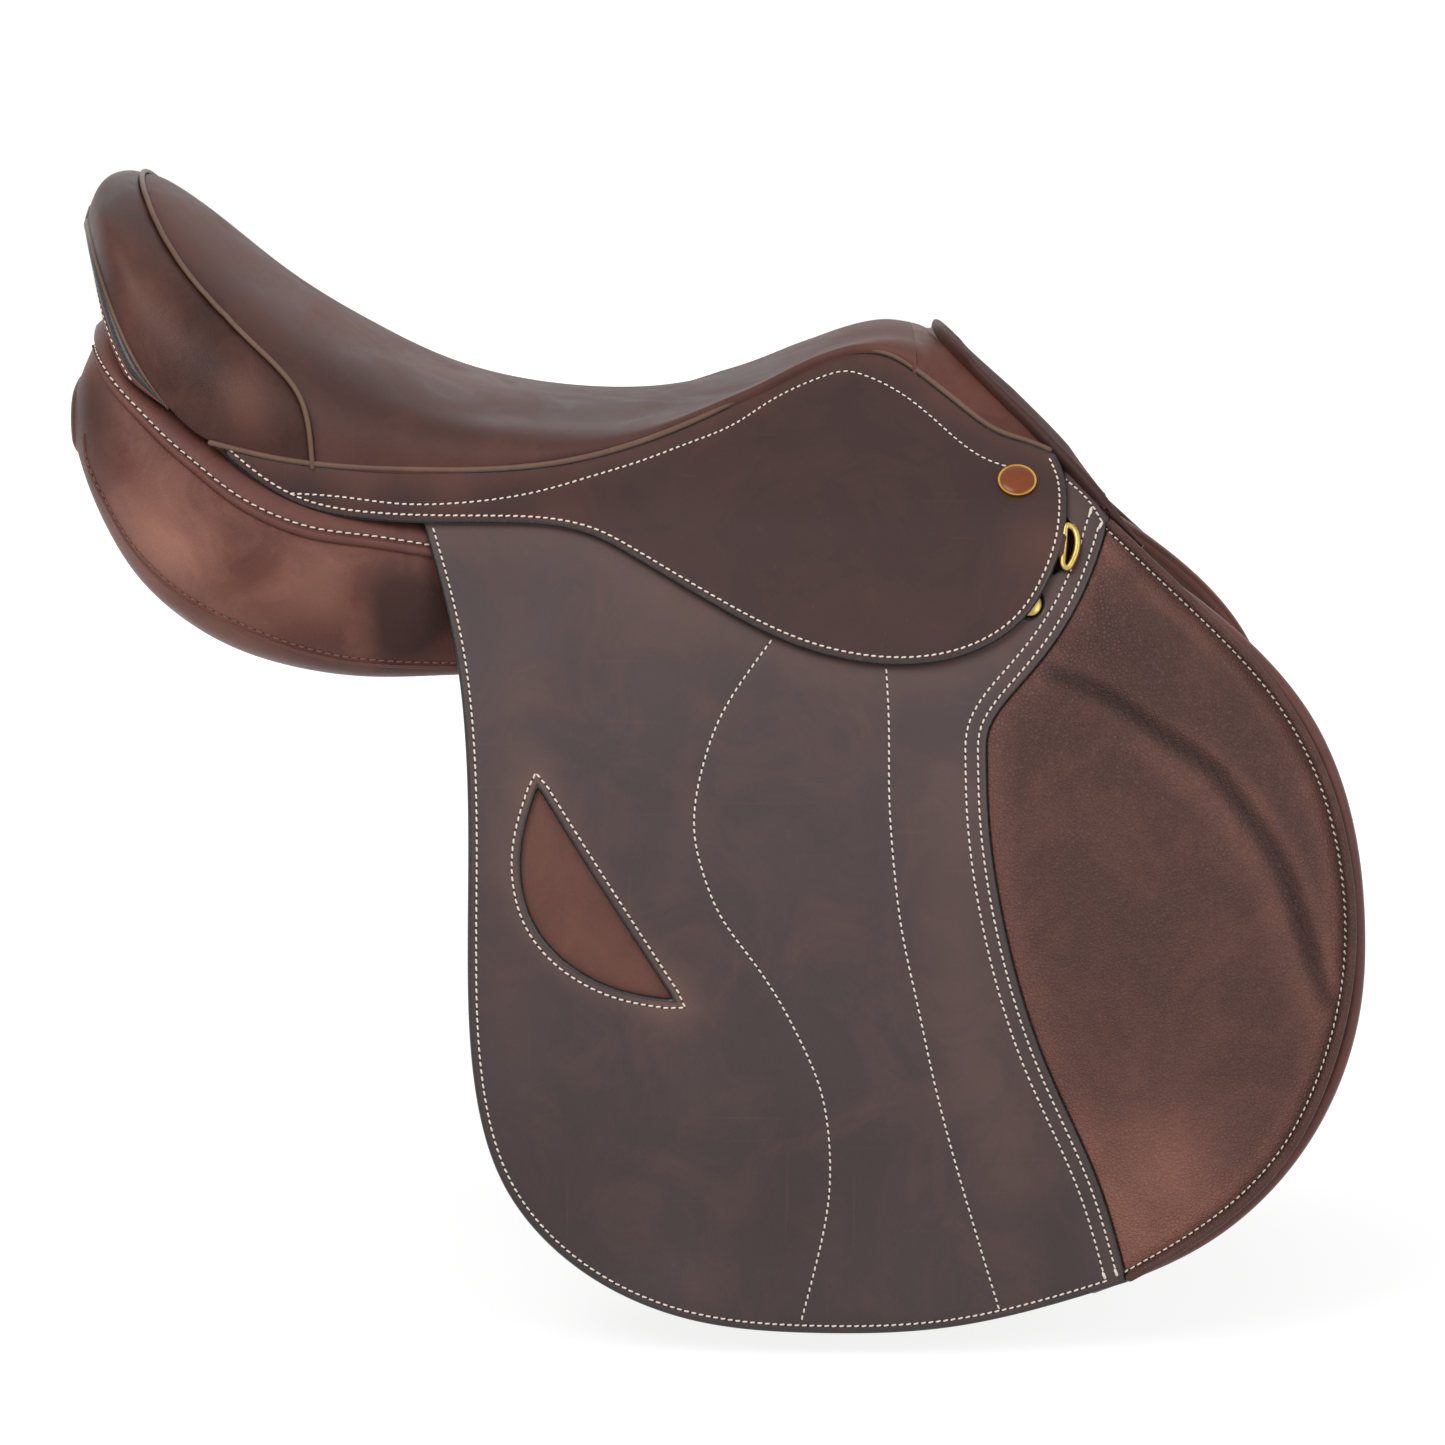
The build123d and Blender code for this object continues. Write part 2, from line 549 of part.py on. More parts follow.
def block(x_low, w_low, z_low, x_high, w_high, z_high):
    """A box on the right side, between two half-widths."""
    with BuildPart() as box:
        with BuildSketch(Plane.XZ.offset(w_low)):
            with Locations(((x_low + x_high) / 2, (z_low + z_high) / 2)):
                Rectangle(x_high - x_low, z_high - z_low)
        extrude(amount=w_high - w_low)
    return box.part


def bar_round(x, z, radius, w_low, w_high):
    """A round bar along Y on the right side, between two half-widths."""
    with BuildPart() as bar:
        with BuildSketch(Plane.XZ.offset(w_low)):
            with Locations((x, z)):
                Circle(radius)
        extrude(amount=w_high - w_low)
    return bar.part


RIVET_RADIUS = 2.5
BAR_RIVETS = ((123.0, 43.5), (123.0, 54.5), (131.0, 49.0))
HEAD_RIVETS = ((128.0, 104.0), (138.0, 96.0))
bar_rivet_forms = [bar_round(x, z, RIVET_RADIUS, half_width(x, z, TREE_IN) - 1, half_width(x, z, 2.5))
                   for x, z in BAR_RIVETS]
head_rivet_forms = [bar_round(x, z, RIVET_RADIUS, half_width(x, z, TREE_IN) - 1, half_width(x, z, 3.0))
                    for x, z in HEAD_RIVETS]

with BuildPart() as stirrup_bar:
    add(side_layer(TREE_OUT, TREE_OUT + PLATE, HEAD_STATIONS))
    extrude(rectangle(HEAD_REAR_X, BAR_LOW_Z - 5, HEAD_FRONT_X, BAR_HIGH_Z + 7), amount=REACH, mode=Mode.INTERSECT)
    add(block(BAR_ARM_X, half_width(0, BAR_LOW_Z, 0.4) - 4, BAR_LOW_Z, HEAD_FRONT_X, BAR_OUT, BAR_HIGH_Z))
    add(block(BAR_REAR_X, BAR_IN, BAR_LOW_Z, HEAD_FRONT_X, BAR_OUT, BAR_HIGH_Z))
    add(block(CATCH_PIVOT[0] - 4, BAR_OUT - CHEEK, BAR_LOW_Z + 1, BAR_REAR_X, BAR_OUT, BAR_HIGH_Z - 1))
    add(bar_round(*CATCH_PIVOT, CATCH_PIN_RADIUS, CATCH_IN, BAR_OUT - CHEEK))
    for form in bar_rivet_forms:
        add(form, mode=Mode.SUBTRACT)
    add(hood(TREE_IN - 20, TREE_OUT, HEAD_REAR_X, HEAD_FRONT_X, POINT_FOOT_Z), mode=Mode.SUBTRACT)
write_pair(stirrup_bar.part, "stirrup_bar")

with BuildPart() as bar_catch:
    with BuildSketch(Plane.XZ.offset(CATCH_IN)):
        with Locations(CATCH_PIVOT):
            Circle(CATCH_RADIUS)
        with Locations((CATCH_PIVOT[0], CATCH_TIP_Z)):
            Circle(CATCH_TIP_RADIUS)
        make_hull()
        with Locations(CATCH_PIVOT):
            Circle(CATCH_PIN_RADIUS + PIN_CLEARANCE, mode=Mode.SUBTRACT)
    extrude(amount=BAR_OUT - CHEEK - SOFT_GAP - CATCH_IN)
write_pair(bar_catch.part, "bar_catch")

with BuildPart() as bar_rivets:
    for form in bar_rivet_forms:
        add(form)
        add(mirror(form, about=Plane.XZ))
write(bar_rivets.part, "bar_rivets")

with BuildPart() as tree_rivets:
    for form in head_rivet_forms:
        add(form)
        add(mirror(form, about=Plane.XZ))
write(tree_rivets.part, "tree_rivets")

with BuildPart() as riveted_tree:
    add(tree.part)
    add(bar_rivets.part, mode=Mode.SUBTRACT)
    add(tree_rivets.part, mode=Mode.SUBTRACT)
write(riveted_tree.part, "tree")
with BuildPart() as riveted_plate:
    add(head_plate.part)
    add(tree_rivets.part, mode=Mode.SUBTRACT)
write(riveted_plate.part, "head_plate")
with BuildPart() as gullet_plate:
    add(gullet_plate_form)
    add(tree_rivets.part, mode=Mode.SUBTRACT)
    add(bar_rivets.part, mode=Mode.SUBTRACT)
write(gullet_plate.part, "gullet_plate")

# ---------------------------------------------------------------- point pockets
POCKET = (HEAD_REAR_X - 4, 6.0, HEAD_FRONT_X + 4, 36.0)
POINT_FIT = 0.2
POINT_ROOM = (HEAD_REAR_X - 0.5, POINT_FOOT_Z - 1, HEAD_FRONT_X + 0.5, 80)
with BuildPart() as point_room:
    add(side_layer(TREE_IN - POINT_FIT, TREE_OUT + POINT_FIT, HEAD_STATIONS))
    extrude(rectangle(*POINT_ROOM), amount=REACH, mode=Mode.INTERSECT)
with BuildPart() as point_pocket:
    add(side_layer(TREE_IN - PLATE, PANEL_OUT, HEAD_STATIONS))
    extrude(rectangle(*POCKET), amount=REACH, mode=Mode.INTERSECT)
    add(point_room.part, mode=Mode.SUBTRACT)
    add(bar_rivets.part, mode=Mode.SUBTRACT)
write_pair(point_pocket.part, "point_pocket")

# ---------------------------------------------------------------- panels and their facings
# Stations: x, then inner top, outer top, outer foot and inner foot, then how far the top, the
# outer side, the foot and the inner side bow outwards.
PANEL = [
    (-230, (44, 136), (76, 130), (80, 106), (44, 104), 2, 4, 4, 2),
    (-223, (38, 156), (88, 141), (91, 88), (37, 86), 1, 7, 5, 2),
    (-212, (33, 170), (97, 139), (97, 66), (33, 65), 1, 10, 6, 2),
    (-198, (32, 167), (105, 124), (104, 48), (32, 48), 1, 12, 7, 2),
    (-170, (32, 155), (111, 103), (108, 27), (32, 28), 1, 13, 8, 2),
    (-140, (32, 134), (113, 85), (107, 14.5), (32, 16.5), 1, 13, 8, 2),
    (-100, (32, 110), (112, 73), (104, 6), (32, 10), 1, 11, 6, 2),
    (-66, (32, 95), (106, 69), (104, 6), (33, 10), 1, 7, 5, 2),
    (-42, (32, 90), (96, 69), (104, 6), (34, 11), 1, 5, 4, 2),
    (20, (33, 83), (93, 71), (109, 2), (42, 10), 1, 5, 4, 2),
    (80, (34, 92), (84, 82), (121, -20), (66, -6), 1, 7, 4, -4),
    (120, (35, 100), (73, 94), (132, -44), (88, -34), 1, 8, 4, -6),
    (160, (38, 98), (73, 94), (135, -60), (98, -60), 1, 9, 4, -8),
    (200, (46, 86), (80, 86), (135, -60), (104, -60), 1, 8, 4, -8),
    (228, (66, 66), (92, 68), (128, -38), (104, -36), 1, 6, 4, -5),
    (238, (80, 54), (97, 56), (119, -8), (102, -6), 1, 3, 2, -2),
]
FACING_EDGE = [(-240, 172), (-221, 148), (-212, 133.7), (-199, 120), (-186.5, 108), (-173.5, 97.2), (-157, 84.3),
               (-139.5, 74.6), (-120, 68), (-98, 64.6), (-62, 58)]


def bowed(start, end, bow):
    """An arc on the right side that bows outwards from the panel by `bow`."""
    dw, dz = end[0] - start[0], end[1] - start[1]
    length = (dw * dw + dz * dz) ** 0.5
    middle = ((start[0] + end[0]) / 2 - dz / length * bow, (start[1] + end[1]) / 2 + dw / length * bow)
    return ThreePointArc((-start[0], start[1]), (-middle[0], middle[1]), (-end[0], end[1]))


with BuildPart() as panel_form:
    for x, inner_top, outer_top, outer_foot, inner_foot, top_bow, outer_bow, foot_bow, inner_bow in PANEL:
        with BuildSketch(Plane.YZ.offset(x)):
            with BuildLine():
                bowed(inner_top, outer_top, top_bow)
                bowed(outer_top, outer_foot, outer_bow)
                bowed(outer_foot, inner_foot, foot_bow)
                bowed(inner_foot, inner_top, inner_bow)
            make_face()
    loft()

FACING_TOP_Z = 220.0
facing_rear, facing_front = FACING_EDGE[0], FACING_EDGE[-1]
facing_prism = extrude(outline(FACING_EDGE, [facing_front, (facing_front[0], FACING_TOP_Z)],
                               [(facing_front[0], FACING_TOP_Z), (facing_rear[0], FACING_TOP_Z)],
                               [(facing_rear[0], FACING_TOP_Z), facing_rear]), amount=REACH)
with BuildPart() as panel_facing:
    add(panel_form.part)
    add(facing_prism, mode=Mode.INTERSECT)
write_pair(panel_facing.part, "panel_facing")

with BuildPart() as pocket_room:
    add(side_layer(TREE_IN - PLATE - SOFT_GAP, 20, HEAD_STATIONS))
    extrude(rectangle(POCKET[0] - SOFT_GAP, POCKET[1] - SOFT_GAP, POCKET[2] + SOFT_GAP, 150), amount=REACH,
            mode=Mode.INTERSECT)
with BuildPart() as panel:
    add(panel_form.part)
    add(facing_prism, mode=Mode.SUBTRACT)
    add(pocket_room.part, mode=Mode.SUBTRACT)
write_pair(panel.part, "panel")

# ---------------------------------------------------------------- billets and their webs
BILLET_WIDTH = 25.0
BILLET_TOP_Z = 66.0
BILLET_FOOT_Z = -222.0
BILLET_TIP = 12.0
BILLET_PIVOT_Z = 58.0
BILLET_HOLES = 7
BILLET_HOLE_PITCH = 24.0
BILLET_HOLE_RADIUS = 3.0
BILLET_LAST_HOLE_Z = -208.0
BILLETS = {"rear": 0.0, "middle": 40.0, "front": 80.0}

billet_layer = side_layer(BILLET_IN, BILLET_OUT, (-40.0, 120.0))
for place, x in BILLETS.items():
    half = BILLET_WIDTH / 2
    with BuildPart() as billet:
        add(billet_layer)
        extrude(outline([(x - half, BILLET_TOP_Z), (x + half, BILLET_TOP_Z)],
                        [(x + half, BILLET_TOP_Z), (x + half, BILLET_FOOT_Z)],
                        [(x + half, BILLET_FOOT_Z), (x + half / 2, BILLET_FOOT_Z - 0.75 * BILLET_TIP),
                         (x, BILLET_FOOT_Z - BILLET_TIP), (x - half / 2, BILLET_FOOT_Z - 0.75 * BILLET_TIP),
                         (x - half, BILLET_FOOT_Z)],
                        [(x - half, BILLET_FOOT_Z), (x - half, BILLET_TOP_Z)]), amount=REACH, mode=Mode.INTERSECT)
        with BuildSketch(Plane.XZ):
            for number in range(BILLET_HOLES):
                with Locations((x, BILLET_LAST_HOLE_Z + number * BILLET_HOLE_PITCH)):
                    Circle(BILLET_HOLE_RADIUS)
        extrude(amount=REACH, mode=Mode.SUBTRACT)
    write_pair(billet.part, f"billet_{place}")

with BuildPart() as billet_web:
    add(side_layer(SWEAT_IN + 0.2, SWEAT_OUT + 0.1))
    extrude(rectangle(BILLETS["rear"] - 16, 24, BILLETS["front"] + 16, 102), amount=REACH, mode=Mode.INTERSECT)
    add(seat_outer, mode=Mode.SUBTRACT)
write_pair(billet_web.part, "billet_web")

# ---------------------------------------------------------------- dees, chapes, nails and studs
DEE_X = 213.7
DEE_Z = 64.5
DEE_WIRE = 2.4
DEE_WIDTH = 8.2
DEE_HEIGHT = 25.0
DEE_LEVEL = 17.0
DEE_TILT_RISE = 0.43
dee_normal = Vector(0, -1, DEE_TILT_RISE).normalized()
dee_plane = Plane(origin=(DEE_X, -half_width(DEE_X, DEE_Z, DEE_LEVEL), DEE_Z), x_dir=(1, 0, 0), z_dir=dee_normal)
with BuildPart() as d_ring:
    with BuildSketch(dee_plane):
        with Locations((DEE_WIDTH / 2 - DEE_WIRE / 2, 0)):
            RectangleRounded(DEE_WIDTH, DEE_HEIGHT, DEE_WIDTH * 0.45)
            RectangleRounded(DEE_WIDTH - 2 * DEE_WIRE, DEE_HEIGHT - 2 * DEE_WIRE, 1.5, mode=Mode.SUBTRACT)
    extrude(amount=DEE_WIRE / 2, both=True)
write_pair(d_ring.part, "d_ring")

CHAPE_HALF_HEIGHT = 5.5
CHAPE_BORE = 2.2
CHAPE_LEATHER = 1.2
CHAPE_TAIL = 17.0
CHAPE_DROP = 2.6
chape_plane = Plane(origin=dee_plane.origin, x_dir=(1, 0, 0), z_dir=-dee_plane.y_dir)
with BuildPart() as chape:
    with BuildSketch(chape_plane):
        Circle(CHAPE_BORE + CHAPE_LEATHER)
        Circle(CHAPE_BORE, mode=Mode.SUBTRACT)
        with Locations((-CHAPE_TAIL / 2 - CHAPE_BORE, 0)):
            Rectangle(CHAPE_TAIL + 2 * CHAPE_BORE, 4 * (CHAPE_BORE + CHAPE_LEATHER), mode=Mode.SUBTRACT)
        with Locations((-CHAPE_TAIL / 2, -CHAPE_DROP)):
            Rectangle(CHAPE_TAIL, CHAPE_LEATHER)
    extrude(amount=CHAPE_HALF_HEIGHT, both=True)
with BuildPart() as chapes:
    add(chape.part)
    add(mirror(chape.part, about=Plane.XZ))
write(chapes.part, "d_ring_chapes")

NAIL_X = 191.0
NAIL_Z = 92.0
NAIL_RADIUS = 8.6
NAIL_CAP_RADIUS = 7.4
NAIL_CAP_THICK = 1.4
NAIL_HEAD = 2.0
NAIL_FLOOR = 1.0
NAIL_SHANK = 10.5
NAIL_SHANK_RADIUS = 2.0
nail_normal = Vector(0, -1, FRONT_SLOPE).normalized()
nail_plane = Plane(origin=(NAIL_X, -half_width(NAIL_X, NAIL_Z, SKIRT_OUT), NAIL_Z), x_dir=(1, 0, 0),
                   z_dir=nail_normal)
with BuildPart() as nail:
    with BuildSketch(nail_plane):
        Circle(NAIL_RADIUS)
    extrude(amount=NAIL_HEAD)
    with BuildSketch(nail_plane.offset(NAIL_FLOOR)):
        Circle(NAIL_CAP_RADIUS)
    extrude(amount=NAIL_HEAD, mode=Mode.SUBTRACT)
    with BuildSketch(nail_plane):
        Circle(NAIL_SHANK_RADIUS)
    extrude(amount=-NAIL_SHANK)
with BuildPart() as nails:
    add(nail.part)
    add(mirror(nail.part, about=Plane.XZ))
write(nails.part, "saddle_nails")
with BuildPart() as nail_cap:
    with BuildSketch(nail_plane.offset(NAIL_FLOOR)):
        Circle(NAIL_CAP_RADIUS)
    extrude(amount=NAIL_CAP_THICK)
with BuildPart() as nail_caps:
    add(nail_cap.part)
    add(mirror(nail_cap.part, about=Plane.XZ))
write(nail_caps.part, "nail_caps")

with BuildPart() as stud:
    add(side_layer(SWEAT_OUT + SOFT_GAP, FLAP_OUT, (100.0, 360.0)))
    with BuildSketch(Plane.XZ):
        with Locations(FLAP_STUD):
            Circle(FLAP_STUD_RADIUS)
    extrude(amount=REACH, mode=Mode.INTERSECT)
with BuildPart() as studs:
    add(stud.part)
    add(mirror(stud.part, about=Plane.XZ))
write(studs.part, "flap_studs")

# ---------------------------------------------------------------- cantle binding
BINDING_RADIUS = 2.4
rim = [(x, y - 1.0, z - BINDING_RADIUS - 0.3) for x, y, z, *_ in SEAT[:5]] + [(-168, 111.5, 110.5)]
rim_path = [(x, -y, z) for x, y, z in rim[::-1]] + [(-233, 0, 201)] + rim
with BuildPart() as cantle_binding:
    with BuildLine() as binding_line:
        Spline(*rim_path)
    with BuildSketch(Plane(origin=binding_line.line @ 0, z_dir=binding_line.line % 0)):
        Circle(BINDING_RADIUS)
    sweep(path=binding_line.line)
    add(seat_outer, mode=Mode.SUBTRACT)
write(cantle_binding.part, "cantle_binding")

# ---------------------------------------------------------------- pieces that the nails and rolls pass through
for name, piece, cutters in (
    ("flap_top", flap_top.part, [nail.part, chape.part, front_roll.part]),
    ("skirt_top", skirt_top.part, [nail.part, front_roll.part]),
    ("knee_pad_top", knee_pad_top.part, [flap_top.part, front_roll.part]),
    ("sweat_flap", sweat_flap.part, [front_roll.part]),
    ("skirt_welt", skirt_welt.part, [front_roll.part]),
):
    with BuildPart() as cut:
        add(piece)
        for cutter in cutters:
            add(cutter, mode=Mode.SUBTRACT)
    write_pair(cut.part, name)

with BuildPart() as cut_facing:
    add(pommel_facing.part)
    for form in (nail.part, skirt_top.part, skirt_welt.part, stud.part, knee_pad_top.part, sweat_flap.part):
        add(form, mode=Mode.SUBTRACT)
        add(mirror(form, about=Plane.XZ), mode=Mode.SUBTRACT)
write(cut_facing.part, "pommel_facing")

with BuildPart() as cut_roll:
    add(front_roll.part)
    add(edge_roll.part, mode=Mode.SUBTRACT)
    add(mirror(edge_roll.part, about=Plane.XZ), mode=Mode.SUBTRACT)
write(cut_roll.part, "front_roll")
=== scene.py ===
"""The looks of an English jumping saddle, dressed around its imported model.

Outlines are in millimetres, in side view (X forward, Z up) or along a seam, and are laid on
the saddle's own curved surfaces. The right side is made and the left side is its mirror image.
"""
import math

import bmesh
import bpy
import numpy as np
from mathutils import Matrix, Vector, geometry, kdtree


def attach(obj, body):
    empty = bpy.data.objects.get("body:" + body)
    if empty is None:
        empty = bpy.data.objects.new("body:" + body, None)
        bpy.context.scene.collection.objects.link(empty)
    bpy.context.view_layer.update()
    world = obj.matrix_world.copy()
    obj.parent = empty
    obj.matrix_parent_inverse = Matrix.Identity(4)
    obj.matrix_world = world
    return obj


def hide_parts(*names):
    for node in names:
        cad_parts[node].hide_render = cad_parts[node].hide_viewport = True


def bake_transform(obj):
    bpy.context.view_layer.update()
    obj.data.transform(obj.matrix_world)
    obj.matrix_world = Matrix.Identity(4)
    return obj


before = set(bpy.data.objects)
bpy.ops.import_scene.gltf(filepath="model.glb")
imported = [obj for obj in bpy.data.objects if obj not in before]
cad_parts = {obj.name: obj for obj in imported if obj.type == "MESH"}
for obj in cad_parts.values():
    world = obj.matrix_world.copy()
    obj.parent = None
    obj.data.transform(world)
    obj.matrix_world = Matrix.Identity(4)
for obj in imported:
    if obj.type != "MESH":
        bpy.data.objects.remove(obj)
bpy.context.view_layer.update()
MM = 0.001

# ---------------------------------------------------------------- tree, plates and webs
# The tree is laminated beech with a steel head plate, a gullet plate and two spring steels,
# riveted together. Webbing strained over it carries the seat, and girth webs hang from it.


def tone(code):
    """A colour written as six hexadecimal digits, as the linear values that a shader takes."""
    parts = [int(code[i:i + 2], 16) / 255 for i in (0, 2, 4)]
    return [c / 12.92 if c <= 0.04045 else ((c + 0.055) / 1.055) ** 2.4 for c in parts] + [1.0]


def new_group(name, inputs):
    """A node group with (name, kind, default) inputs, and its colour, roughness and height outputs."""
    group = bpy.data.node_groups.new(name, "ShaderNodeTree")
    outputs = [("Color", "Color", None), ("Roughness", "Float", None), ("Height", "Float", None)]
    for way, sockets in (("INPUT", inputs), ("OUTPUT", outputs)):
        for label, kind, default in sockets:
            socket = group.interface.new_socket(label, in_out=way, socket_type=f"NodeSocket{kind}")
            if default is not None:
                socket.default_value = default
    return group, group.nodes.new("NodeGroupInput").outputs, group.nodes.new("NodeGroupOutput").inputs


def feed(tree, socket, part):
    """Gives an input its part, which is another node's output or a plain value."""
    if isinstance(part, bpy.types.NodeSocket):
        tree.links.new(part, socket)
    else:
        socket.default_value = part


def node(tree, kind, parts=(), **settings):
    """One shader node: settings are its properties, and parts go to its inputs."""
    made = tree.nodes.new(f"ShaderNode{kind}")
    for key, value in settings.items():
        setattr(made, key, value)
    for key, part in dict(parts).items():
        feed(tree, made.inputs[key], part)
    return made


def mixed(tree, factor, first, second, blend="MIX"):
    """The colour of a mix node."""
    parts = {0: factor, 6: first, 7: second}
    return node(tree, "Mix", parts, data_type="RGBA", blend_type=blend).outputs[2]


def reckon(tree, operation, *parts, clamp=False):
    """The value of a math node."""
    return node(tree, "Math", enumerate(parts), operation=operation, use_clamp=clamp).outputs[0]


def spread(tree, value, low, high, to_low=0.0, to_high=1.0):
    """value, carried from one range to another and held inside it."""
    return node(tree, "MapRange", enumerate((value, low, high, to_low, to_high))).outputs[0]


def spaced(values):
    """Keywords as the names of sockets, with a space for each underscore."""
    return {key.replace("_", " "): value for key, value in values.items()}


def rest_place(tree, stretch=(1, 1, 1), turn=(0, 0, 0)):
    """The point of the surface at rest, in metres, scaled and turned."""
    place = node(tree, "TexCoord").outputs["Object"]
    return node(tree, "Mapping", {"Vector": place, "Scale": stretch, "Rotation": turn}).outputs[0]


def noise(tree, scale, detail=2.0, stretch=(1, 1, 1), turn=(0, 0, 0), **shape):
    """The value of a noise that is fixed to the surface."""
    place = rest_place(tree, stretch, turn)
    return node(tree, "TexNoise", {"Vector": place, "Scale": scale, "Detail": detail, **shape}).outputs[0]


def bands(tree, scale, direction, stretch=(1, 1, 1), **shape):
    """The value of bands that are fixed to the surface."""
    parts = {"Vector": rest_place(tree, stretch), "Scale": scale, **spaced(shape)}
    return node(tree, "TexWave", parts, bands_direction=direction).outputs[1]


def new_material(name, **amounts):
    """A material, its node tree and its Principled shader with the given amounts."""
    material = bpy.data.materials.new(name)
    material.use_nodes = True
    principled = material.node_tree.nodes["Principled BSDF"]
    for key, value in spaced(amounts).items():
        principled.inputs[key].default_value = value
    return material, material.node_tree, principled


def use_group(tree, group, **amounts):
    """The colour, roughness and height of a group with the given amounts."""
    made = tree.nodes.new("ShaderNodeGroup")
    made.node_tree = group
    for key, part in spaced(amounts).items():
        feed(tree, made.inputs[key], part)
    return list(made.outputs)


def connect(tree, principled, colour, rough, height=None, bump=None):
    """Feeds the Principled shader; the bump's height is in parts of `bump` metres."""
    feed(tree, principled.inputs["Base Color"], colour)
    feed(tree, principled.inputs["Roughness"], rough)
    if height is not None:
        relief = node(tree, "Bump", {"Strength": 1.0, "Distance": bump, "Height": height})
        feed(tree, principled.inputs["Normal"], relief.outputs[0])


# Brushed and worn metal: fine streaks along X, and dulled patches.
metal_wear, given, result = new_group("metal_wear", [
    ("Bright", "Color", None), ("Dull", "Color", None), ("Streak Scale", "Float", 400.0)])
streaks = noise(metal_wear, given["Streak Scale"], 3.0, (0.15, 1, 1))
dulled = spread(metal_wear, noise(metal_wear, 90.0, 4.0), 0.42, 0.66)
feed(metal_wear, result["Color"], mixed(metal_wear, dulled, given["Bright"], given["Dull"]))
feed(metal_wear, result["Roughness"], reckon(metal_wear, "ADD", reckon(metal_wear, "MULTIPLY", dulled, 0.16),
                                             spread(metal_wear, streaks, 0.3, 0.7, 0.2, 0.32)))
feed(metal_wear, result["Height"], streaks)


def metal(name, bright, dull, streak_scale=400.0):
    """A worn metal finish."""
    material, tree, principled = new_material(name, Metallic=1.0)
    surface_marks = use_group(tree, metal_wear, Bright=tone(bright), Dull=tone(dull), Streak_Scale=streak_scale)
    connect(tree, principled, *surface_marks, 0.00003)
    return material


tree_steel = metal("tree_steel", "8f9094", "6b6660")
rivet_steel = metal("rivet_steel", "a9a9a6", "85817a", 700.0)

# Laminated beech: long rings along X, cut by the glue lines between the layers.
beech, tree, principled = new_material("tree_beech")
rings = bands(tree, 60.0, "Z", (0.12, 1, 1.6), Distortion=5.0, Detail=3.0, Detail_Scale=2.0)
glue = spread(tree, bands(tree, 130.0, "Z", Distortion=0.4), 0.86, 0.97)
wood_colour = mixed(tree, glue, mixed(tree, rings, tone("b98f5f"), tone("caa477")), tone("7d5a38"))
connect(tree, principled, wood_colour, spread(tree, rings, 0, 1, 0.5, 0.66), rings, 0.0001)

# Strained webbing: warp along X over weft along Y.
webbing, tree, principled = new_material("tree_webbing")
weave = reckon(tree, "MULTIPLY", bands(tree, 260.0, "X"), bands(tree, 260.0, "Y"))
connect(tree, principled, mixed(tree, weave, tone("6e6553"), tone("b8ad94")),
        spread(tree, weave, 0, 1, 0.9, 0.75), weave, 0.0004)


def keep_node(name, material):
    """A piece that keeps its own mesh, with a better finish."""
    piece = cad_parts[name]
    piece.data.materials.clear()
    piece.data.materials.append(material)


for name in ("head_plate", "gullet_plate", "spring_steels"):
    keep_node(name, tree_steel)
for name in ("tree_rivets", "bar_rivets"):
    keep_node(name, rivet_steel)
keep_node("tree", beech)
for name in ("seat_webs", "billet_web_right", "billet_web_left"):
    keep_node(name, webbing)
for side in ("right", "left"):
    for name in ("stirrup_bar", "bar_catch"):
        keep_node(f"{name}_{side}", rivet_steel)

# ---------------------------------------------------------------- panels
# The two wool-stuffed panels of soft red-brown calf lie along the horse's back. Each has a welted
# seam round its foot and a rolled facing, stitched in white, along its upper edge at the rear.

# Hide: mottled wax pull-up, pores and hair-cell grain, and light scratches. A value painted on the
# mesh shifts the tone: above zero it lightens and reddens the hide, for wear and for painted
# highlights; below zero it darkens it, as painted shade in creases, along seams and where less
# light falls.
hide, given, result = new_group("hide", [
    ("Base", "Color", None), ("Dark", "Color", None), ("Warm", "Color", None), ("Rub", "Float", 0.0),
    ("Mottle", "Float", 0.5), ("Grain Scale", "Float", 900.0), ("Grain", "Float", 0.5),
    ("Scratches", "Float", 0.3), ("Shine", "Float", 0.45)])
cloud = noise(hide, 7.0, 5.0, Roughness=0.6, Distortion=0.6)
smoke = noise(hide, 26.0, 6.0, (1, 1, 0.8), (0.3, 0.1, 0.5), Roughness=0.65, Distortion=1.1)
cell_parts = {"Vector": rest_place(hide), "Scale": given["Grain Scale"], "Randomness": 1.0}
cells = node(hide, "TexVoronoi", cell_parts, feature="DISTANCE_TO_EDGE").outputs[0]
pores = noise(hide, reckon(hide, "MULTIPLY", given["Grain Scale"], 1.7))
fine = reckon(hide, "ADD", spread(hide, cells, 0.0, 0.22), reckon(hide, "MULTIPLY", pores, 0.7))
upright = noise(hide, 520.0, 0.0, (1, 1, 0.03), (0.3, 0.5, 0.0))
level = noise(hide, 430.0, 0.0, (0.04, 1, 1), (0.0, -0.7, 0.3))
marks = reckon(hide, "MAXIMUM", spread(hide, upright, 0.78, 0.84), spread(hide, level, 0.79, 0.85))
scratched = reckon(hide, "MULTIPLY", marks, given["Scratches"])
dark = reckon(hide, "MULTIPLY", spread(hide, cloud, 0.36, 0.7), given["Mottle"])
warm = reckon(hide, "MULTIPLY", spread(hide, smoke, 0.45, 0.82), given["Mottle"])
wear_and_light_marks = reckon(hide, "MULTIPLY", reckon(hide, "MAXIMUM", given["Rub"], 0.0),
              spread(hide, smoke, 0.3, 0.6, 0.7, 1.0), clamp=True)
painted_shade = reckon(hide, "MULTIPLY", reckon(hide, "MINIMUM", given["Rub"], 0.0), -1.0, clamp=True)
colour = given["Base"]
for share, other in ((dark, "Dark"), (warm, "Warm"), (wear_and_light_marks, "Warm"), (painted_shade, "Dark")):
    colour = mixed(hide, share, colour, given[other])
speck = spread(hide, pores, 0.35, 0.7, 0.93, 1.06)
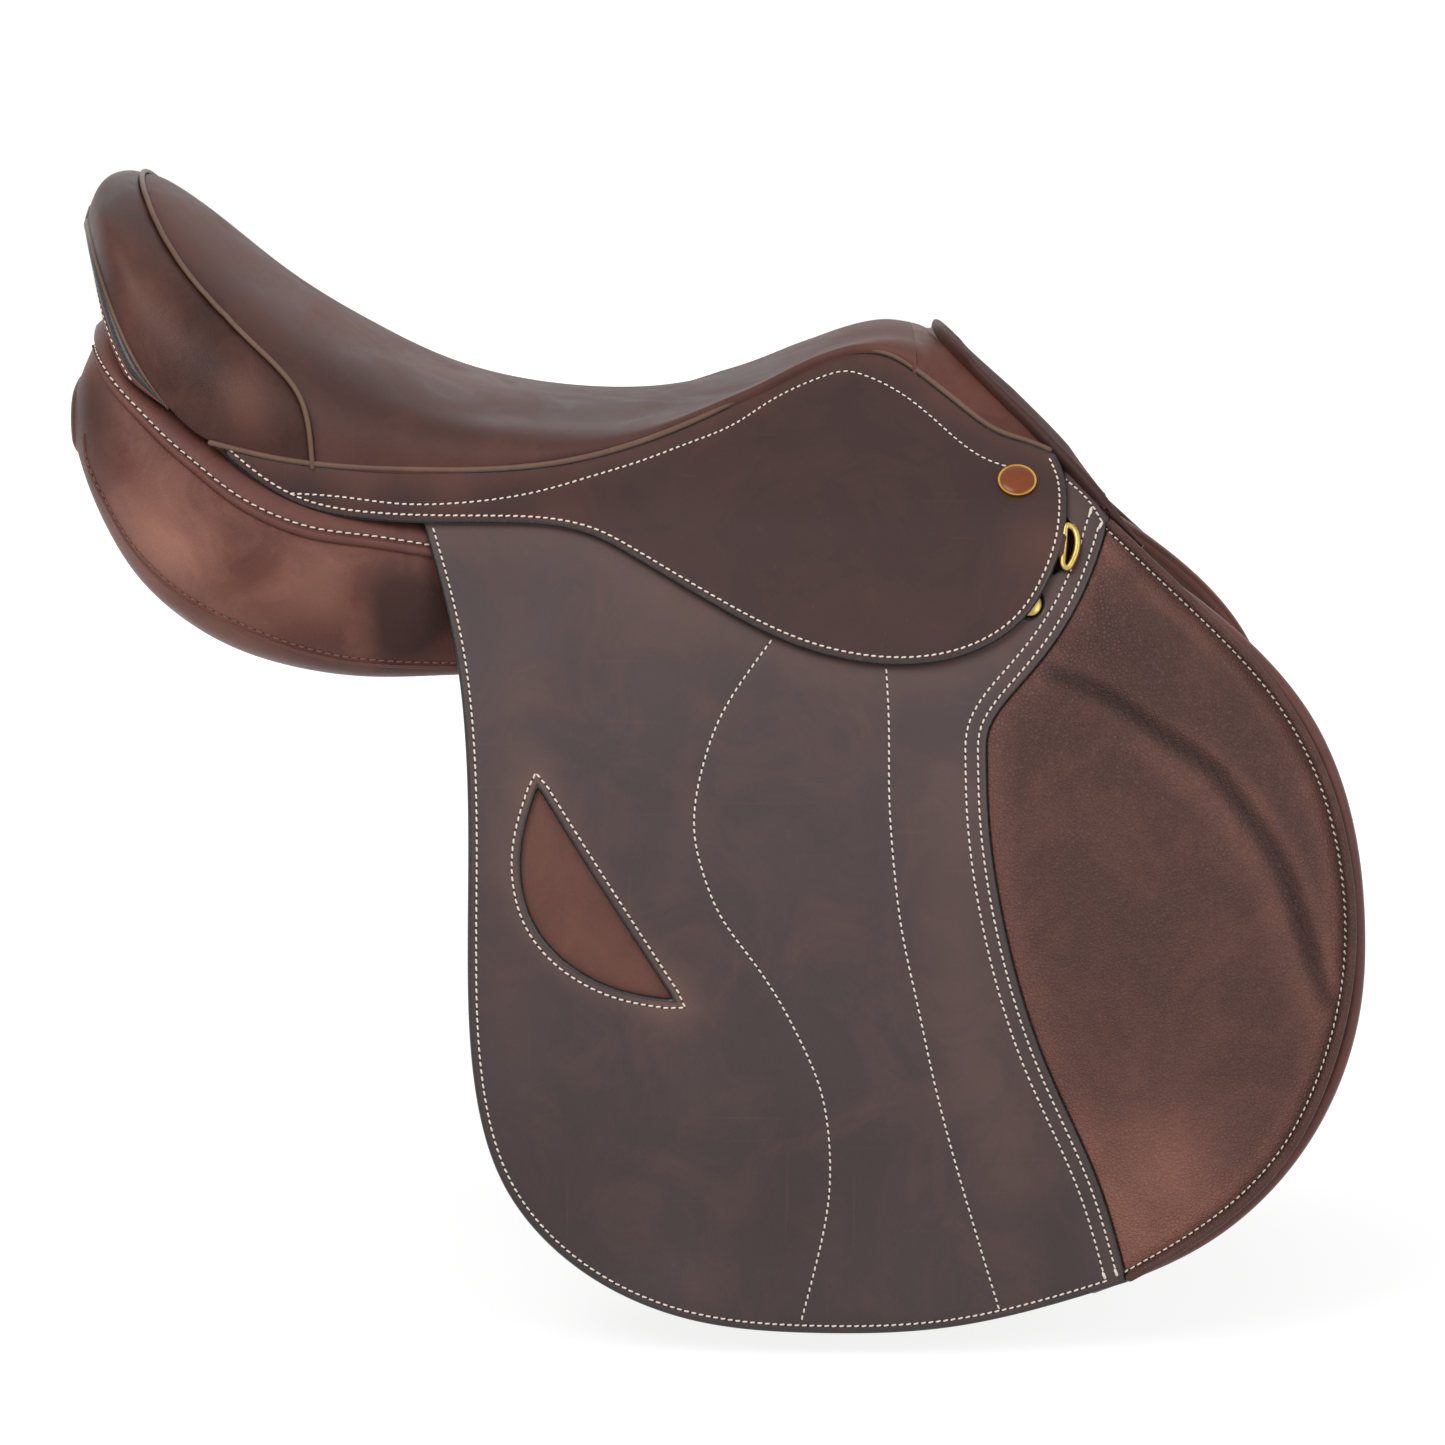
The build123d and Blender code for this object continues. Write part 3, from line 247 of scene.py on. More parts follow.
speck_grey = node(hide, "CombineColor", enumerate([speck] * 3)).outputs[0]
colour = mixed(hide, scratched, mixed(hide, 1.0, colour, speck_grey, "MULTIPLY"), tone("8a6a58"))
rough = reckon(hide, "ADD", given["Shine"], spread(hide, smoke, 0.35, 0.65, -0.06, 0.08))
feed(hide, result["Color"], colour)
feed(hide, result["Roughness"], reckon(hide, "ADD", rough, reckon(hide, "MULTIPLY", scratched, 0.15)))
feed(hide, result["Height"], reckon(hide, "SUBTRACT", reckon(hide, "MULTIPLY", fine, given["Grain"]),
                                    reckon(hide, "MULTIPLY", scratched, 0.6)))


def leather(name, base, dark, warm, bump=0.00012, **amounts):
    """A leather finish in three tones; amounts go to the hide group."""
    material, tree, principled = new_material(name, IOR=1.45, Specular_IOR_Level=0.22)
    wear_and_light = node(tree, "Attribute", attribute_name="wear_and_light").outputs["Fac"]
    skin = use_group(tree, hide, Base=tone(base), Dark=tone(dark), Warm=tone(warm), Rub=wear_and_light, **amounts)
    connect(tree, principled, *skin, bump)
    return material


def edge_paint(name, code):
    """Edge paint or a thin folded binding: smooth, a little glossy, with fine dust."""
    material, tree, principled = new_material(name)
    dust = noise(tree, 800.0, 3.0)
    grey = spread(tree, dust, 0.45, 0.8, 0.0, 0.25)
    connect(tree, principled, mixed(tree, grey, tone(code), tone("6a6058")),
            spread(tree, grey, 0, 0.25, 0.34, 0.5), dust, 0.00008)
    return material


def thread(name, light, shade):
    """Waxed linen thread: twisted plies give fine slanting bands."""
    material, tree, principled = new_material(name)
    plies = bands(tree, 620.0, "DIAGONAL", Distortion=1.5)
    connect(tree, principled, mixed(tree, plies, tone(shade), tone(light)),
            spread(tree, plies, 0, 1, 0.75, 0.6), plies, 0.0001)
    return material


panel_calf = leather("panel_calf", "653d34", "3c2521", "986a5c", Grain_Scale=1100.0, Grain=0.5, Mottle=0.55,
                     Scratches=0.03, Shine=0.4)
roll_calf = leather("roll_calf", "66403a", "45302c", "7d5246", Grain_Scale=1100.0, Grain=0.4, Mottle=0.5,
                    Scratches=0.03, Shine=0.38)
black_edge = edge_paint("black_edge", "191615")
white_thread = thread("white_thread", "fbf4e8", "d3c5b4")
red_thread = thread("red_thread", "8a5e4e", "583830")
# Needle holes are painted near-black, standing in for the shade inside each hole.
needle_hole_shade = edge_paint("needle_hole_shade", "0c0807")


def travelled(line):
    """How far along a line each of its points lies."""
    return np.concatenate([[0.0], np.cumsum(np.linalg.norm(np.diff(line, axis=0), axis=1))])


def unit(vectors):
    """Vectors cut to unit length."""
    return vectors / np.linalg.norm(vectors, axis=-1, keepdims=True)


def read_off(places, knots, values):
    """Rows of values, read off at places along their knots."""
    return np.stack([np.interp(places, knots, column) for column in np.asarray(values).T], axis=-1)


def smooth(points, step=2.0):
    """Even points on the natural cubic curve through the given ones, or on a straight run."""
    through = np.array(points, float)
    spans = np.linalg.norm(np.diff(through, axis=0), axis=1)
    count = len(through)
    if count == 2:
        along = np.linspace(0, spans[0], 400) / spans[0]
        curve = through[0] + np.outer(along, through[1] - through[0])
    else:
        matrix = np.eye(count)
        right = np.zeros_like(through)
        slopes = np.diff(through, axis=0) / spans[:, None]
        for i in range(1, count - 1):
            matrix[i, i - 1:i + 2] = spans[i - 1], 2 * (spans[i - 1] + spans[i]), spans[i]
            right[i] = 3 * (slopes[i] - slopes[i - 1])
        bend = np.linalg.solve(matrix, right)
        curve = []
        for i, span in enumerate(spans):
            slope = slopes[i] - span * (2 * bend[i] + bend[i + 1]) / 3
            s = np.linspace(0, span, max(8, int(4 * span / step)))[:, None]
            cubic = (bend[i + 1] - bend[i]) / (3 * span)
            curve.append(through[i] + slope * s + bend[i] * s ** 2 + cubic * s ** 3)
        curve = np.concatenate(curve)
    travel = travelled(curve)
    return read_off(np.linspace(0, travel[-1], max(2, int(round(travel[-1] / step)) + 1)), travel, curve)


def in_scene(made):
    """Adds an object to the scene."""
    bpy.context.scene.collection.objects.link(made)
    return made


def add_object(name, vertices, faces, materials, face_materials=None, wear_and_light=None):
    """A mesh object in metres from vertices in millimetres."""
    mesh = bpy.data.meshes.new(name)
    mesh.from_pydata([tuple(v) for v in np.asarray(vertices) * MM], [], faces)
    for material in materials:
        mesh.materials.append(material)
    if face_materials is not None:
        mesh.polygons.foreach_set("material_index", face_materials)
    if wear_and_light is not None:
        mesh.attributes.new("wear_and_light", "FLOAT", "POINT").data.foreach_set("value", np.asarray(wear_and_light, np.float32))
    mesh.polygons.foreach_set("use_smooth", [True] * len(mesh.polygons))
    mesh.validate()
    mesh.update()
    return in_scene(bpy.data.objects.new(name, mesh))


def mirrored(piece):
    """The left-hand twin of a right-hand piece."""
    twin = piece.copy()
    twin.data = piece.data.copy()
    twin.name = piece.name.replace("_right", "_left")
    for vertex in twin.data.vertices:
        vertex.co.y = -vertex.co.y
    twin.data.flip_normals()
    return in_scene(twin)


def dress(piece, nodes, slot, body="root"):
    """Hides the nodes that a piece stands for and hangs it on its body, unless body is None.
    slot is not used.
    """
    if nodes:
        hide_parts(*nodes)
    if body is not None:
        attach(piece, body)


def hand_over(piece, nodes, slot, body="root", bend=None):
    """Dresses a right-hand piece and its left-hand twin.
    bend is (child body, low Z, high Z) in millimetres; when it is given the pieces are baked in
    place and hung on no body, and its values are not read."""
    for side, one in (("right", piece), ("left", mirrored(piece))):
        names = [f"{name}_{side}" for name in nodes]
        if bend:
            dress(one, names, slot, None)
            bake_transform(one)
        else:
            dress(one, names, slot, body if body == "root" else f"{body}_{side}")


def face_outwards(piece):
    """Turns the faces of a closed piece outwards."""
    made = bmesh.new()
    made.from_mesh(piece.data)
    bmesh.ops.recalc_face_normals(made, faces=made.faces)
    made.to_mesh(piece.data)
    made.free()
    return piece


def ring_loft(name, rings, material, wear_and_light=None):
    """A closed skin through rings that all have the same number of points."""
    count = len(rings[0])
    after = [(i + 1) % count for i in range(count)]
    faces = [(r * count + i, r * count + k, (r + 1) * count + k, (r + 1) * count + i)
             for r in range(len(rings) - 1) for i, k in enumerate(after)]
    base = len(rings) * count
    vertices = np.concatenate([*rings, [np.mean(rings[0], axis=0), np.mean(rings[-1], axis=0)]])
    if wear_and_light is not None:
        wear_and_light = np.concatenate([wear_and_light, [wear_and_light[0], wear_and_light[-1]]])
    faces += [(base, k, i) for i, k in enumerate(after)]
    faces += [(base + 1, base - count + i, base - count + k) for i, k in enumerate(after)]
    return face_outwards(add_object(name, vertices, faces, [material], wear_and_light=wear_and_light))


# Stations along the right panel: x, then the half-width and height of its four corners, then how
# far its top, outer side, foot and inner side bow outwards.
PANEL = [
    (-230, (44, 136), (76, 130), (80, 106), (44, 104), 2, 4, 4, 2),
    (-223, (38, 156), (88, 141), (91, 88), (37, 86), 1, 7, 5, 2),
    (-212, (33, 170), (97, 139), (97, 66), (33, 65), 1, 10, 6, 2),
    (-198, (32, 167), (105, 124), (104, 48), (32, 48), 1, 12, 7, 2),
    (-170, (32, 155), (111, 103), (108, 27), (32, 28), 1, 13, 8, 2),
    (-140, (32, 134), (113, 85), (107, 14.5), (32, 16.5), 1, 13, 8, 2),
    (-100, (32, 110), (112, 73), (104, 6), (32, 10), 1, 11, 6, 2),
    (-66, (32, 95), (106, 69), (104, 6), (33, 10), 1, 7, 5, 2),
    (-42, (32, 90), (96, 69), (104, 6), (34, 11), 1, 5, 4, 2),
    (20, (33, 83), (93, 71), (109, 2), (42, 10), 1, 5, 4, 2),
    (80, (34, 92), (84, 82), (121, -20), (66, -6), 1, 7, 4, -4),
    (120, (35, 100), (73, 94), (132, -44), (88, -34), 1, 8, 4, -6),
    (160, (38, 98), (73, 94), (135, -60), (98, -60), 1, 9, 4, -8),
    (200, (46, 86), (80, 86), (135, -60), (104, -60), 1, 8, 4, -8),
    (228, (66, 66), (92, 68), (128, -38), (104, -36), 1, 6, 4, -5),
    (238, (80, 54), (97, 56), (119, -8), (102, -6), 1, 3, 2, -2),
]
ARC_POINTS = 24
PANEL_STEP = 4.0
PANEL_ROUNDING = 6


def panel_ring(values):
    """One closed section of the right panel from a station's values, its corners rounded."""
    x, corners, bows = values[0], np.array(values[1:9]).reshape(4, 2), values[9:]
    ring = []
    for k in range(4):
        start, end = corners[k], corners[(k + 1) % 4]
        reach = end - start
        across = unit(np.array([-reach[1], reach[0]]))
        t = np.linspace(0, 1, ARC_POINTS, endpoint=False)[:, None]
        ring.append(start + t * reach + across * bows[k] * 4 * t * (1 - t))
    ring = np.concatenate(ring)
    for _ in range(PANEL_ROUNDING):
        ring = 0.25 * np.roll(ring, 1, axis=0) + 0.5 * ring + 0.25 * np.roll(ring, -1, axis=0)
    return np.stack([np.full(len(ring), x), -ring[:, 0], ring[:, 1]], axis=1)


stations = smooth([[x, *a, *b, *c, *d, *bows] for x, a, b, c, d, *bows in PANEL], PANEL_STEP)
panel_rings = [panel_ring(values) for values in stations]


def rounded_end(ring, depth):
    """Three rings that shrink from a panel's last section, for a rounded end."""
    middle = ring.mean(axis=0)
    ends = []
    for share in (0.35, 0.7, 0.93):
        shrunk = middle + (ring - middle) * (0.45 + 0.55 * math.sqrt(1 - share ** 2))
        shrunk[:, 0] = ring[0, 0] + depth * share
        ends.append(shrunk)
    return ends


# Painted light and shade on the panel, as ((x, z), reach, strength): above zero a painted highlight, below
# zero painted shade.
PANEL_LIGHT_AND_SHADE = [((-182, 66), 17, 1.2), ((-198, 80), 16, 0.6), ((-118, 45), 22, 0.5),
                ((-160, 40), 24, 0.25), ((-88, 44), 13, -1.0), ((-84, 22), 14, -1.0),
                ((-70, 34), 16, -0.7), ((-224, 124), 22, -0.8), ((-176, 76), 13, -0.45),
                ((-150, 62), 14, -0.4), ((-122, 20), 16, -0.3), ((-66, 40), 16, -0.55)]
panel_skin = [*rounded_end(panel_rings[0], -3.0)[::-1], *panel_rings, *rounded_end(panel_rings[-1], 3.0)]
panel_spots = np.concatenate(panel_skin)[:, [0, 2]]
panel_painted_light = sum(depth * np.exp(-np.sum((panel_spots - middle) ** 2, axis=1) / reach ** 2)
                for middle, reach, depth in PANEL_LIGHT_AND_SHADE)
panel = ring_loft("panel_right", panel_skin, panel_calf, panel_painted_light)
hand_over(panel, ["panel"], "lining_leather")


def grid_skin(grid, rows_at, columns_at, closed=False):
    """A function that places (row, column) pairs, raised by `out`, on the skin through a grid."""
    along = np.gradient(grid, axis=0)
    if closed:
        across = np.roll(grid, -1, axis=1) - np.roll(grid, 1, axis=1)
    else:
        across = np.gradient(grid, axis=1)
    normals = np.cross(along, across)
    normals /= np.maximum(np.linalg.norm(normals, axis=2), 1e-9)[..., None]
    outward = grid - grid.mean(axis=1, keepdims=True)
    normals *= np.sign(np.sum(normals * outward, axis=2).mean())

    def place(points, out=0.0):
        points = np.asarray(points, float)
        u = np.interp(points[:, 0], rows_at, np.arange(len(rows_at)))
        u_low = np.clip(np.floor(u).astype(int), 0, len(rows_at) - 2)
        if closed:
            v = np.mod(points[:, 1], grid.shape[1])
            v_low = np.floor(v).astype(int) % grid.shape[1]
            v_next = (v_low + 1) % grid.shape[1]
            b = (v - np.floor(v))[:, None]
        else:
            v = np.interp(points[:, 1], columns_at, np.arange(len(columns_at)))
            v_low = np.clip(np.floor(v).astype(int), 0, len(columns_at) - 2)
            v_next = v_low + 1
            b = (v - v_low)[:, None]
        a = (u - u_low)[:, None]

        def read(values):
            low = values[u_low, v_low] * (1 - b) + values[u_low, v_next] * b
            high = values[u_low + 1, v_low] * (1 - b) + values[u_low + 1, v_next] * b
            return low * (1 - a) + high * a

        return read(grid) + read(normals) * np.reshape(out, (-1, 1))

    return place


panel_grid = np.array(panel_rings)
panel_x = panel_grid[:, 0, 0]
panel_place = grid_skin(panel_grid, panel_x, None, closed=True)


def on_panel(points):
    """Side-view points on the panel's outer side, as the pairs that panel_place takes."""
    pairs = []
    for x, z in points:
        at = np.clip(np.interp(x, panel_x, np.arange(len(panel_x))), 0, len(panel_x) - 1.001)
        row, share = int(at), at - int(at)
        ring = panel_grid[row] * (1 - share) + panel_grid[row + 1] * share
        side = ring[ARC_POINTS // 2:2 * ARC_POINTS + 4, 2]
        pairs.append((x, ARC_POINTS // 2 + np.interp(-z, -side, np.arange(len(side)))))
    return np.array(pairs)


def normal_at(place, points, out):
    """Unit normals of a surface, by small steps along its two directions."""
    nudge = 0.4
    here = place(points, out)
    along = place(points + [nudge, 0], out) - here
    across = place(points + [0, nudge], out) - here
    normal = np.cross(along, across)
    outward = place(points, np.asarray(out) + 1.0) - here
    normal *= np.sign(np.sum(normal * outward, axis=1))[:, None]
    return normal / np.maximum(np.linalg.norm(normal, axis=1), 1e-9)[:, None]


STITCH_PITCH, STITCH_LENGTH, STITCH_RADIUS = 3.3, 2.5, 0.42
STITCH_SLANT, STITCH_DIP = 0.12, 1.3
# One stitch, as (share of its length, share of its radius) from end to end.
STITCH_SHAPE = [(-0.5, 0.0), (-0.46, 0.62), (-0.3, 1.0), (0.3, 1.0), (0.46, 0.62), (0.5, 0.0)]
HOLE_RADIUS, HOLE_RISE, HOLE_DEPTH = 0.46, 0.12, 0.5
THREAD_SIDES = 6


def stitches(name, rows, place, out, material=white_thread, pitch=STITCH_PITCH, length=STITCH_LENGTH,
             radius=STITCH_RADIUS, holes=True):
    """Rows of single stitches that dip into the leather at both ends, with needle holes painted near-black as
    their shade.
    """
    vertices, faces, paints = [], [], []
    turns = [2 * math.pi * k / THREAD_SIDES for k in range(THREAD_SIDES)]
    for row in rows:
        row = np.asarray(row, float)
        line = place(row, out)
        normals = normal_at(place, row, np.full(len(row), float(np.mean(out))))
        travel = travelled(line)
        ways = np.gradient(line, axis=0)
        count = max(1, int(travel[-1] / pitch))
        gap = travel[-1] / count
        for i in range(count):
            s = (i + 0.5) * gap
            middle, ahead, behind = read_off([s, s + 0.8, s - 0.8], travel, line)
            up = unit(read_off(s, travel, normals))
            run = ahead - behind
            run = unit(run - up * run.dot(up))
            run = unit(run + np.cross(up, run) * STITCH_SLANT)
            side = np.cross(up, run)
            base = len(vertices)
            for share, width in STITCH_SHAPE:
                spine = middle + run * share * length - up * radius * STITCH_DIP * abs(share * 2) ** 3
                if width:
                    vertices += [spine + (side * math.cos(turn) + up * math.sin(turn)) * radius * width
                                 for turn in turns]
                else:
                    vertices.append(spine)
            last = len(vertices) - 1
            for k in range(THREAD_SIDES):
                following = (k + 1) % THREAD_SIDES
                faces.append((base, base + 1 + following, base + 1 + k))
                faces.append((last, last - THREAD_SIDES + k, last - THREAD_SIDES + following))
                for ring in range(len(STITCH_SHAPE) - 3):
                    low = base + 1 + ring * THREAD_SIDES
                    high = low + THREAD_SIDES
                    faces.append((low + k, low + following, high + following, high + k))
            paints += [0] * (len(faces) - len(paints))
            if not holes or i == 0:
                continue
            # The needle hole before this stitch, a small cone painted near-black as the hole's shade.
            hole, along = read_off(i * gap, travel, line), read_off(i * gap, travel, ways)
            up = unit(read_off(i * gap, travel, normals))
            along = unit(np.cross(np.cross(up, along), up))
            side = np.cross(up, along)
            base = len(vertices)
            vertices += [hole + up * HOLE_RISE, hole - up * HOLE_DEPTH]
            vertices += [hole + (along * math.cos(turn) + side * math.sin(turn)) * HOLE_RADIUS
                         for turn in turns]
            for k in range(THREAD_SIDES):
                here, following = base + 2 + k, base + 2 + (k + 1) % THREAD_SIDES
                faces += [(base, here, following), (base + 1, following, here)]
            paints += [1] * (len(faces) - len(paints))
    return add_object(name, vertices, faces, [material, needle_hole_shade], paints)


def sewn(name, rows, place, out, slot, body="root", bend=None, **thread):
    """Rows of stitches on the right side and on the left."""
    hand_over(stitches(f"{name}_right", rows, place, out, **thread), [], slot, body, bend)


def tube(name, path, radius, material, sides=12, flatten=1.0, up=(0, 0, 1)):
    """A round or flattened rope-like roll along points in millimetres, with rounded ends."""
    path = np.asarray(path, float)
    run = unit(np.gradient(path, axis=0))
    side = unit(np.cross(run, np.broadcast_to(np.asarray(up, float), path.shape)))
    over = np.cross(side, run)
    angle = np.linspace(0, 2 * math.pi, sides, endpoint=False)[:, None]
    rings = [point + (across * np.cos(angle) + above * np.sin(angle) * flatten) * radius
             for point, across, above in zip(path, side, over)]
    first, last = ([path[end] + (rings[end] - path[end]) * math.sqrt(1 - share ** 2)
                    + way * run[end] * radius * share for share in (0.5, 0.87)]
                   for end, way in ((0, -1), (-1, 1)))
    return ring_loft(name, [*first[::-1], *rings, *last], material)


# The welt round the panel's foot, with its row of dark thread.
PANEL_SEAM = [(-224.5, 112), (-223, 99.5), (-219.5, 90.7), (-213.5, 80), (-208, 71), (-201.5, 62),
              (-194, 54), (-184.5, 45.5), (-173, 37.5), (-160.5, 31), (-147, 25), (-134.5, 20),
              (-120, 15.5), (-106, 12.5), (-93.5, 11), (-78, 10), (-60, 9.5), (-30, 9)]
seam_row = on_panel(smooth(PANEL_SEAM, 2.0))
panel_welt = tube("panel_welt_right", panel_place(seam_row, 0.0), 0.9, roll_calf, sides=8, up=(0, -1, 0.2))
hand_over(panel_welt, [], "lining_leather")
sewn("panel_seam_stitches", [seam_row + [0, -1.0]], panel_place, 0.3, "lining_leather", material=red_thread,
     pitch=4.0, length=3.0, radius=0.4)

# The rolled facing: a bead along its lower edge, a sunk row of white stitches, then a soft swell
# up to the seat.
FACING_EDGE = [(-221, 148), (-212, 133.7), (-199, 120), (-186.5, 108), (-173.5, 97.2), (-157, 84.3),
               (-139.5, 74.6), (-120, 68), (-98, 64.6), (-62, 58)]
FACING_START = 3.0
BEAD_WIDTH = 4.4
STITCH_VALLEY = 5.2
FACING_PITCH, FACING_STITCH = 3.9, 2.9
facing_edge = on_panel(smooth(FACING_EDGE, 3.0))
FACING_STEPS = np.array([0, 0.2, 0.7, 1.4, 2.2, 3.0, 3.7, 4.2, 4.6, 5.2, 5.8, 6.6, 8.0, 10, 13, 17, 23,
                         30, 38, 48])
BEAD_HEIGHT, SWELL_HEIGHT, SWELL_REACH, TOP_REACH = 2.4, 2.4, 4.0, 6.0
rings, under = [], []
for x, q in facing_edge:
    line = np.stack([np.full(120, x), np.linspace(q, FACING_START, 120)], axis=1)
    track = panel_place(line)
    travel = travelled(track)
    d = np.minimum(FACING_STEPS * min(1.0, travel[-1] / FACING_STEPS[-1]), travel[-1])
    bead = 0.5 + BEAD_HEIGHT * np.sqrt(np.maximum(0, 1 - ((d - BEAD_WIDTH / 2) / (BEAD_WIDTH / 2)) ** 2))
    swell = 1.0 + SWELL_HEIGHT * (1 - np.exp(-np.maximum(0, d - STITCH_VALLEY) / SWELL_REACH))
    swell *= np.clip((travel[-1] - d) / TOP_REACH, 0.15, 1)
    q_at = np.interp(d, travel, line[:, 1])
    pairs = np.stack([np.full(len(d), x), q_at], axis=1)
    rings.append(np.concatenate([panel_place(pairs, np.where(d <= BEAD_WIDTH, bead, swell)),
                                 panel_place(pairs[::-1], -1.0)]))
    under.append((x, np.interp(STITCH_VALLEY, travel, line[:, 1])))
panel_facing = ring_loft("panel_facing_right", rings, roll_calf)
hand_over(panel_facing, ["panel_facing"], "lining_leather")
sewn("panel_facing_stitches", [under], panel_place, 1.5, "lining_leather", pitch=FACING_PITCH,
     length=FACING_STITCH)

# ---------------------------------------------------------------- seat
# Calf covers a foam-padded seat: a dull waxed centre panel and two redder wings round the cantle,
# joined by a fine piping. The cover is strained over the tree and tacked under it.
seat_hide = leather("seat_hide", "412b28", "2f201d", "6a433a", Grain_Scale=1500.0, Grain=0.22, Mottle=0.4,
                    Scratches=0.03, Shine=0.5)
wing_hide = leather("wing_hide", "3a211c", "291814", "784f42", Grain_Scale=1400.0, Grain=0.3, Mottle=0.35,
                    Scratches=0.03, Shine=0.4)
bronze_piping = leather("bronze_piping", "6b5143", "483730", "8d705f", Grain_Scale=2400.0, Grain=0.2,
                        Mottle=0.3, Scratches=0.0, Shine=0.34)

# Stations from cantle to pommel: x, rim half-width and height, shoulder half-width and height, and
# crown height, then the height of the underside.
SEAT = [
    (-231.5, 16, 204, 10, 208, 210.5, 198),
    (-226, 46, 198, 30, 214, 220.5, 192),
    (-215, 83, 176, 54, 213, 226, 187),
    (-200, 101, 145.5, 67, 202, 223, 180),
    (-186, 107, 127, 77, 189, 214.5, 173),
    (-172, 111.5, 114.5, 86, 175, 204, 166),
    (-140, 114, 107, 98, 150, 178.5, 142),
    (-100, 114.5, 103, 97, 134, 154, 117.5),
    (-60, 114, 101.5, 93, 122, 135.5, 99),
    (-20, 112, 103.5, 86, 117, 126.5, 90),
    (20, 104, 111, 75, 118, 124.5, 88),
    (50, 89, 122, 60, 124, 128.5, 92),
    (80, 69, 135, 46, 135, 138.5, 102),
    (110, 53, 147.5, 38, 147.5, 151, 114),
    (135, 51, 147.5, 37, 152, 157, 119),
    (148, 58, 141, 37, 151, 155.5, 118),
]
SEAT_HALF_ARC = 140.0
SEAT_COLUMNS = 40
UNDERSIDE_HALF_WIDTH = 30.0
seat_rows = smooth(SEAT, 3.0)
seat_rows[:, 2] = np.minimum(seat_rows[:, 2], seat_rows[:, 4] - 1.0)
seat_travel = travelled(seat_rows[:, [0, 5]])
grid = []
for x, rim, rim_z, shoulder, shoulder_z, crown, _ in seat_rows:
    bulge = (shoulder + 0.72 * (rim - shoulder), shoulder_z - 0.36 * (shoulder_z - rim_z))
    tuck = 5.0 * np.clip((x + 165) / 30, 0, 1)
    half = [(0, crown), (0.55 * shoulder, crown - 0.3 * (crown - shoulder_z)), (shoulder, shoulder_z), bulge,
            (rim, rim_z)]
    if tuck > 1:
        half.append((rim - 0.2 * tuck, rim_z - tuck))
    whole = smooth([(-y, z) for y, z in half[:0:-1]] + half, 0.5)
    section = read_off(np.linspace(0, 1, 2 * SEAT_COLUMNS + 1), np.linspace(0, 1, len(whole)), whole)
    grid.append(np.column_stack([np.full(len(section), x), section]))
seat_grid = np.array(grid)
seat_columns = np.linspace(-SEAT_HALF_ARC, SEAT_HALF_ARC, 2 * SEAT_COLUMNS + 1)
seat_place = grid_skin(seat_grid, seat_travel, seat_columns)
SEAT_END = seat_travel[-1]


def inside(points, loop):
    """Which points lie inside a closed loop."""
    x, y = points[:, 0], points[:, 1]
    hit = np.zeros(len(points), bool)
    for (x0, y0), (x1, y1) in zip(loop, np.roll(loop, -1, axis=0)):
        if y0 == y1:
            continue
        crosses = (y0 > y) != (y1 > y)
        hit ^= crosses & (x < (x1 - x0) * (y - y0) / (y1 - y0) + x0)
    return hit


def closed(*stretches, step=3.0):
    """A loop of even points through stretches that meet end to end, turning left."""
    loop = np.concatenate([smooth(stretch, step)[:-1] for stretch in stretches])
    area = np.sum(loop[:, 0] * np.roll(loop[:, 1], -1) - loop[:, 1] * np.roll(loop[:, 0], -1))
    return loop if area > 0 else loop[::-1]


def runs(*corners):
    """Straight stretches from corner to corner."""
    return list(zip(corners, corners[1:]))


def inset(loop, distance, is_closed=True):
    """The points of a line moved to its left, square to it, with mitred corners."""
    loop = np.asarray(loop, float)
    if is_closed:
        before, after = loop - np.roll(loop, 1, axis=0), np.roll(loop, -1, axis=0) - loop
    else:
        gaps = np.diff(loop, axis=0)
        before, after = np.concatenate([gaps[:1], gaps]), np.concatenate([gaps, gaps[-1:]])
    before, after = unit(before), unit(after)
    left = np.stack([-(before + after)[:, 1], (before + after)[:, 0]], axis=1)
    left /= np.maximum(np.linalg.norm(left, axis=1), 1e-9)[:, None]
    square = np.stack([-before[:, 1], before[:, 0]], axis=1)
    return loop + left * distance / np.maximum(np.sum(left * square, axis=1), 0.6)[:, None]


def nearest(points, line):
    """Distance from each point to the nearest point of a line."""
    tree = kdtree.KDTree(len(line))
    for i, (x, y) in enumerate(line):
        tree.insert((x, y, 0), i)
    tree.balance()
    return np.array([tree.find((x, y, 0))[2] for x, y in points])


GROOVE_ROWS = (-1.5, -0.6, 0.6, 1.5)
GROOVE_REACH, DROP_REACH = 0.9, 2.5
# Where a sheet's mesh has its points: the first row inside the rim, and the gaps between kinds.
RIM_ROW, ROW_GAP, SEAM_GAP, FILL_GAP, FILL_ROWS = 1.6, 1.2, 0.9, 0.6, 0.87
# A sheet's rounded edge, as (share of its reach outwards, share of its depth) from front to back.
EDGE_SHAPE = [(0.45, 0.14), (0.8, 0.5), (1.0, 1.0), (1.0, -1.0), (0.8, -0.5), (0.45, -0.14)]


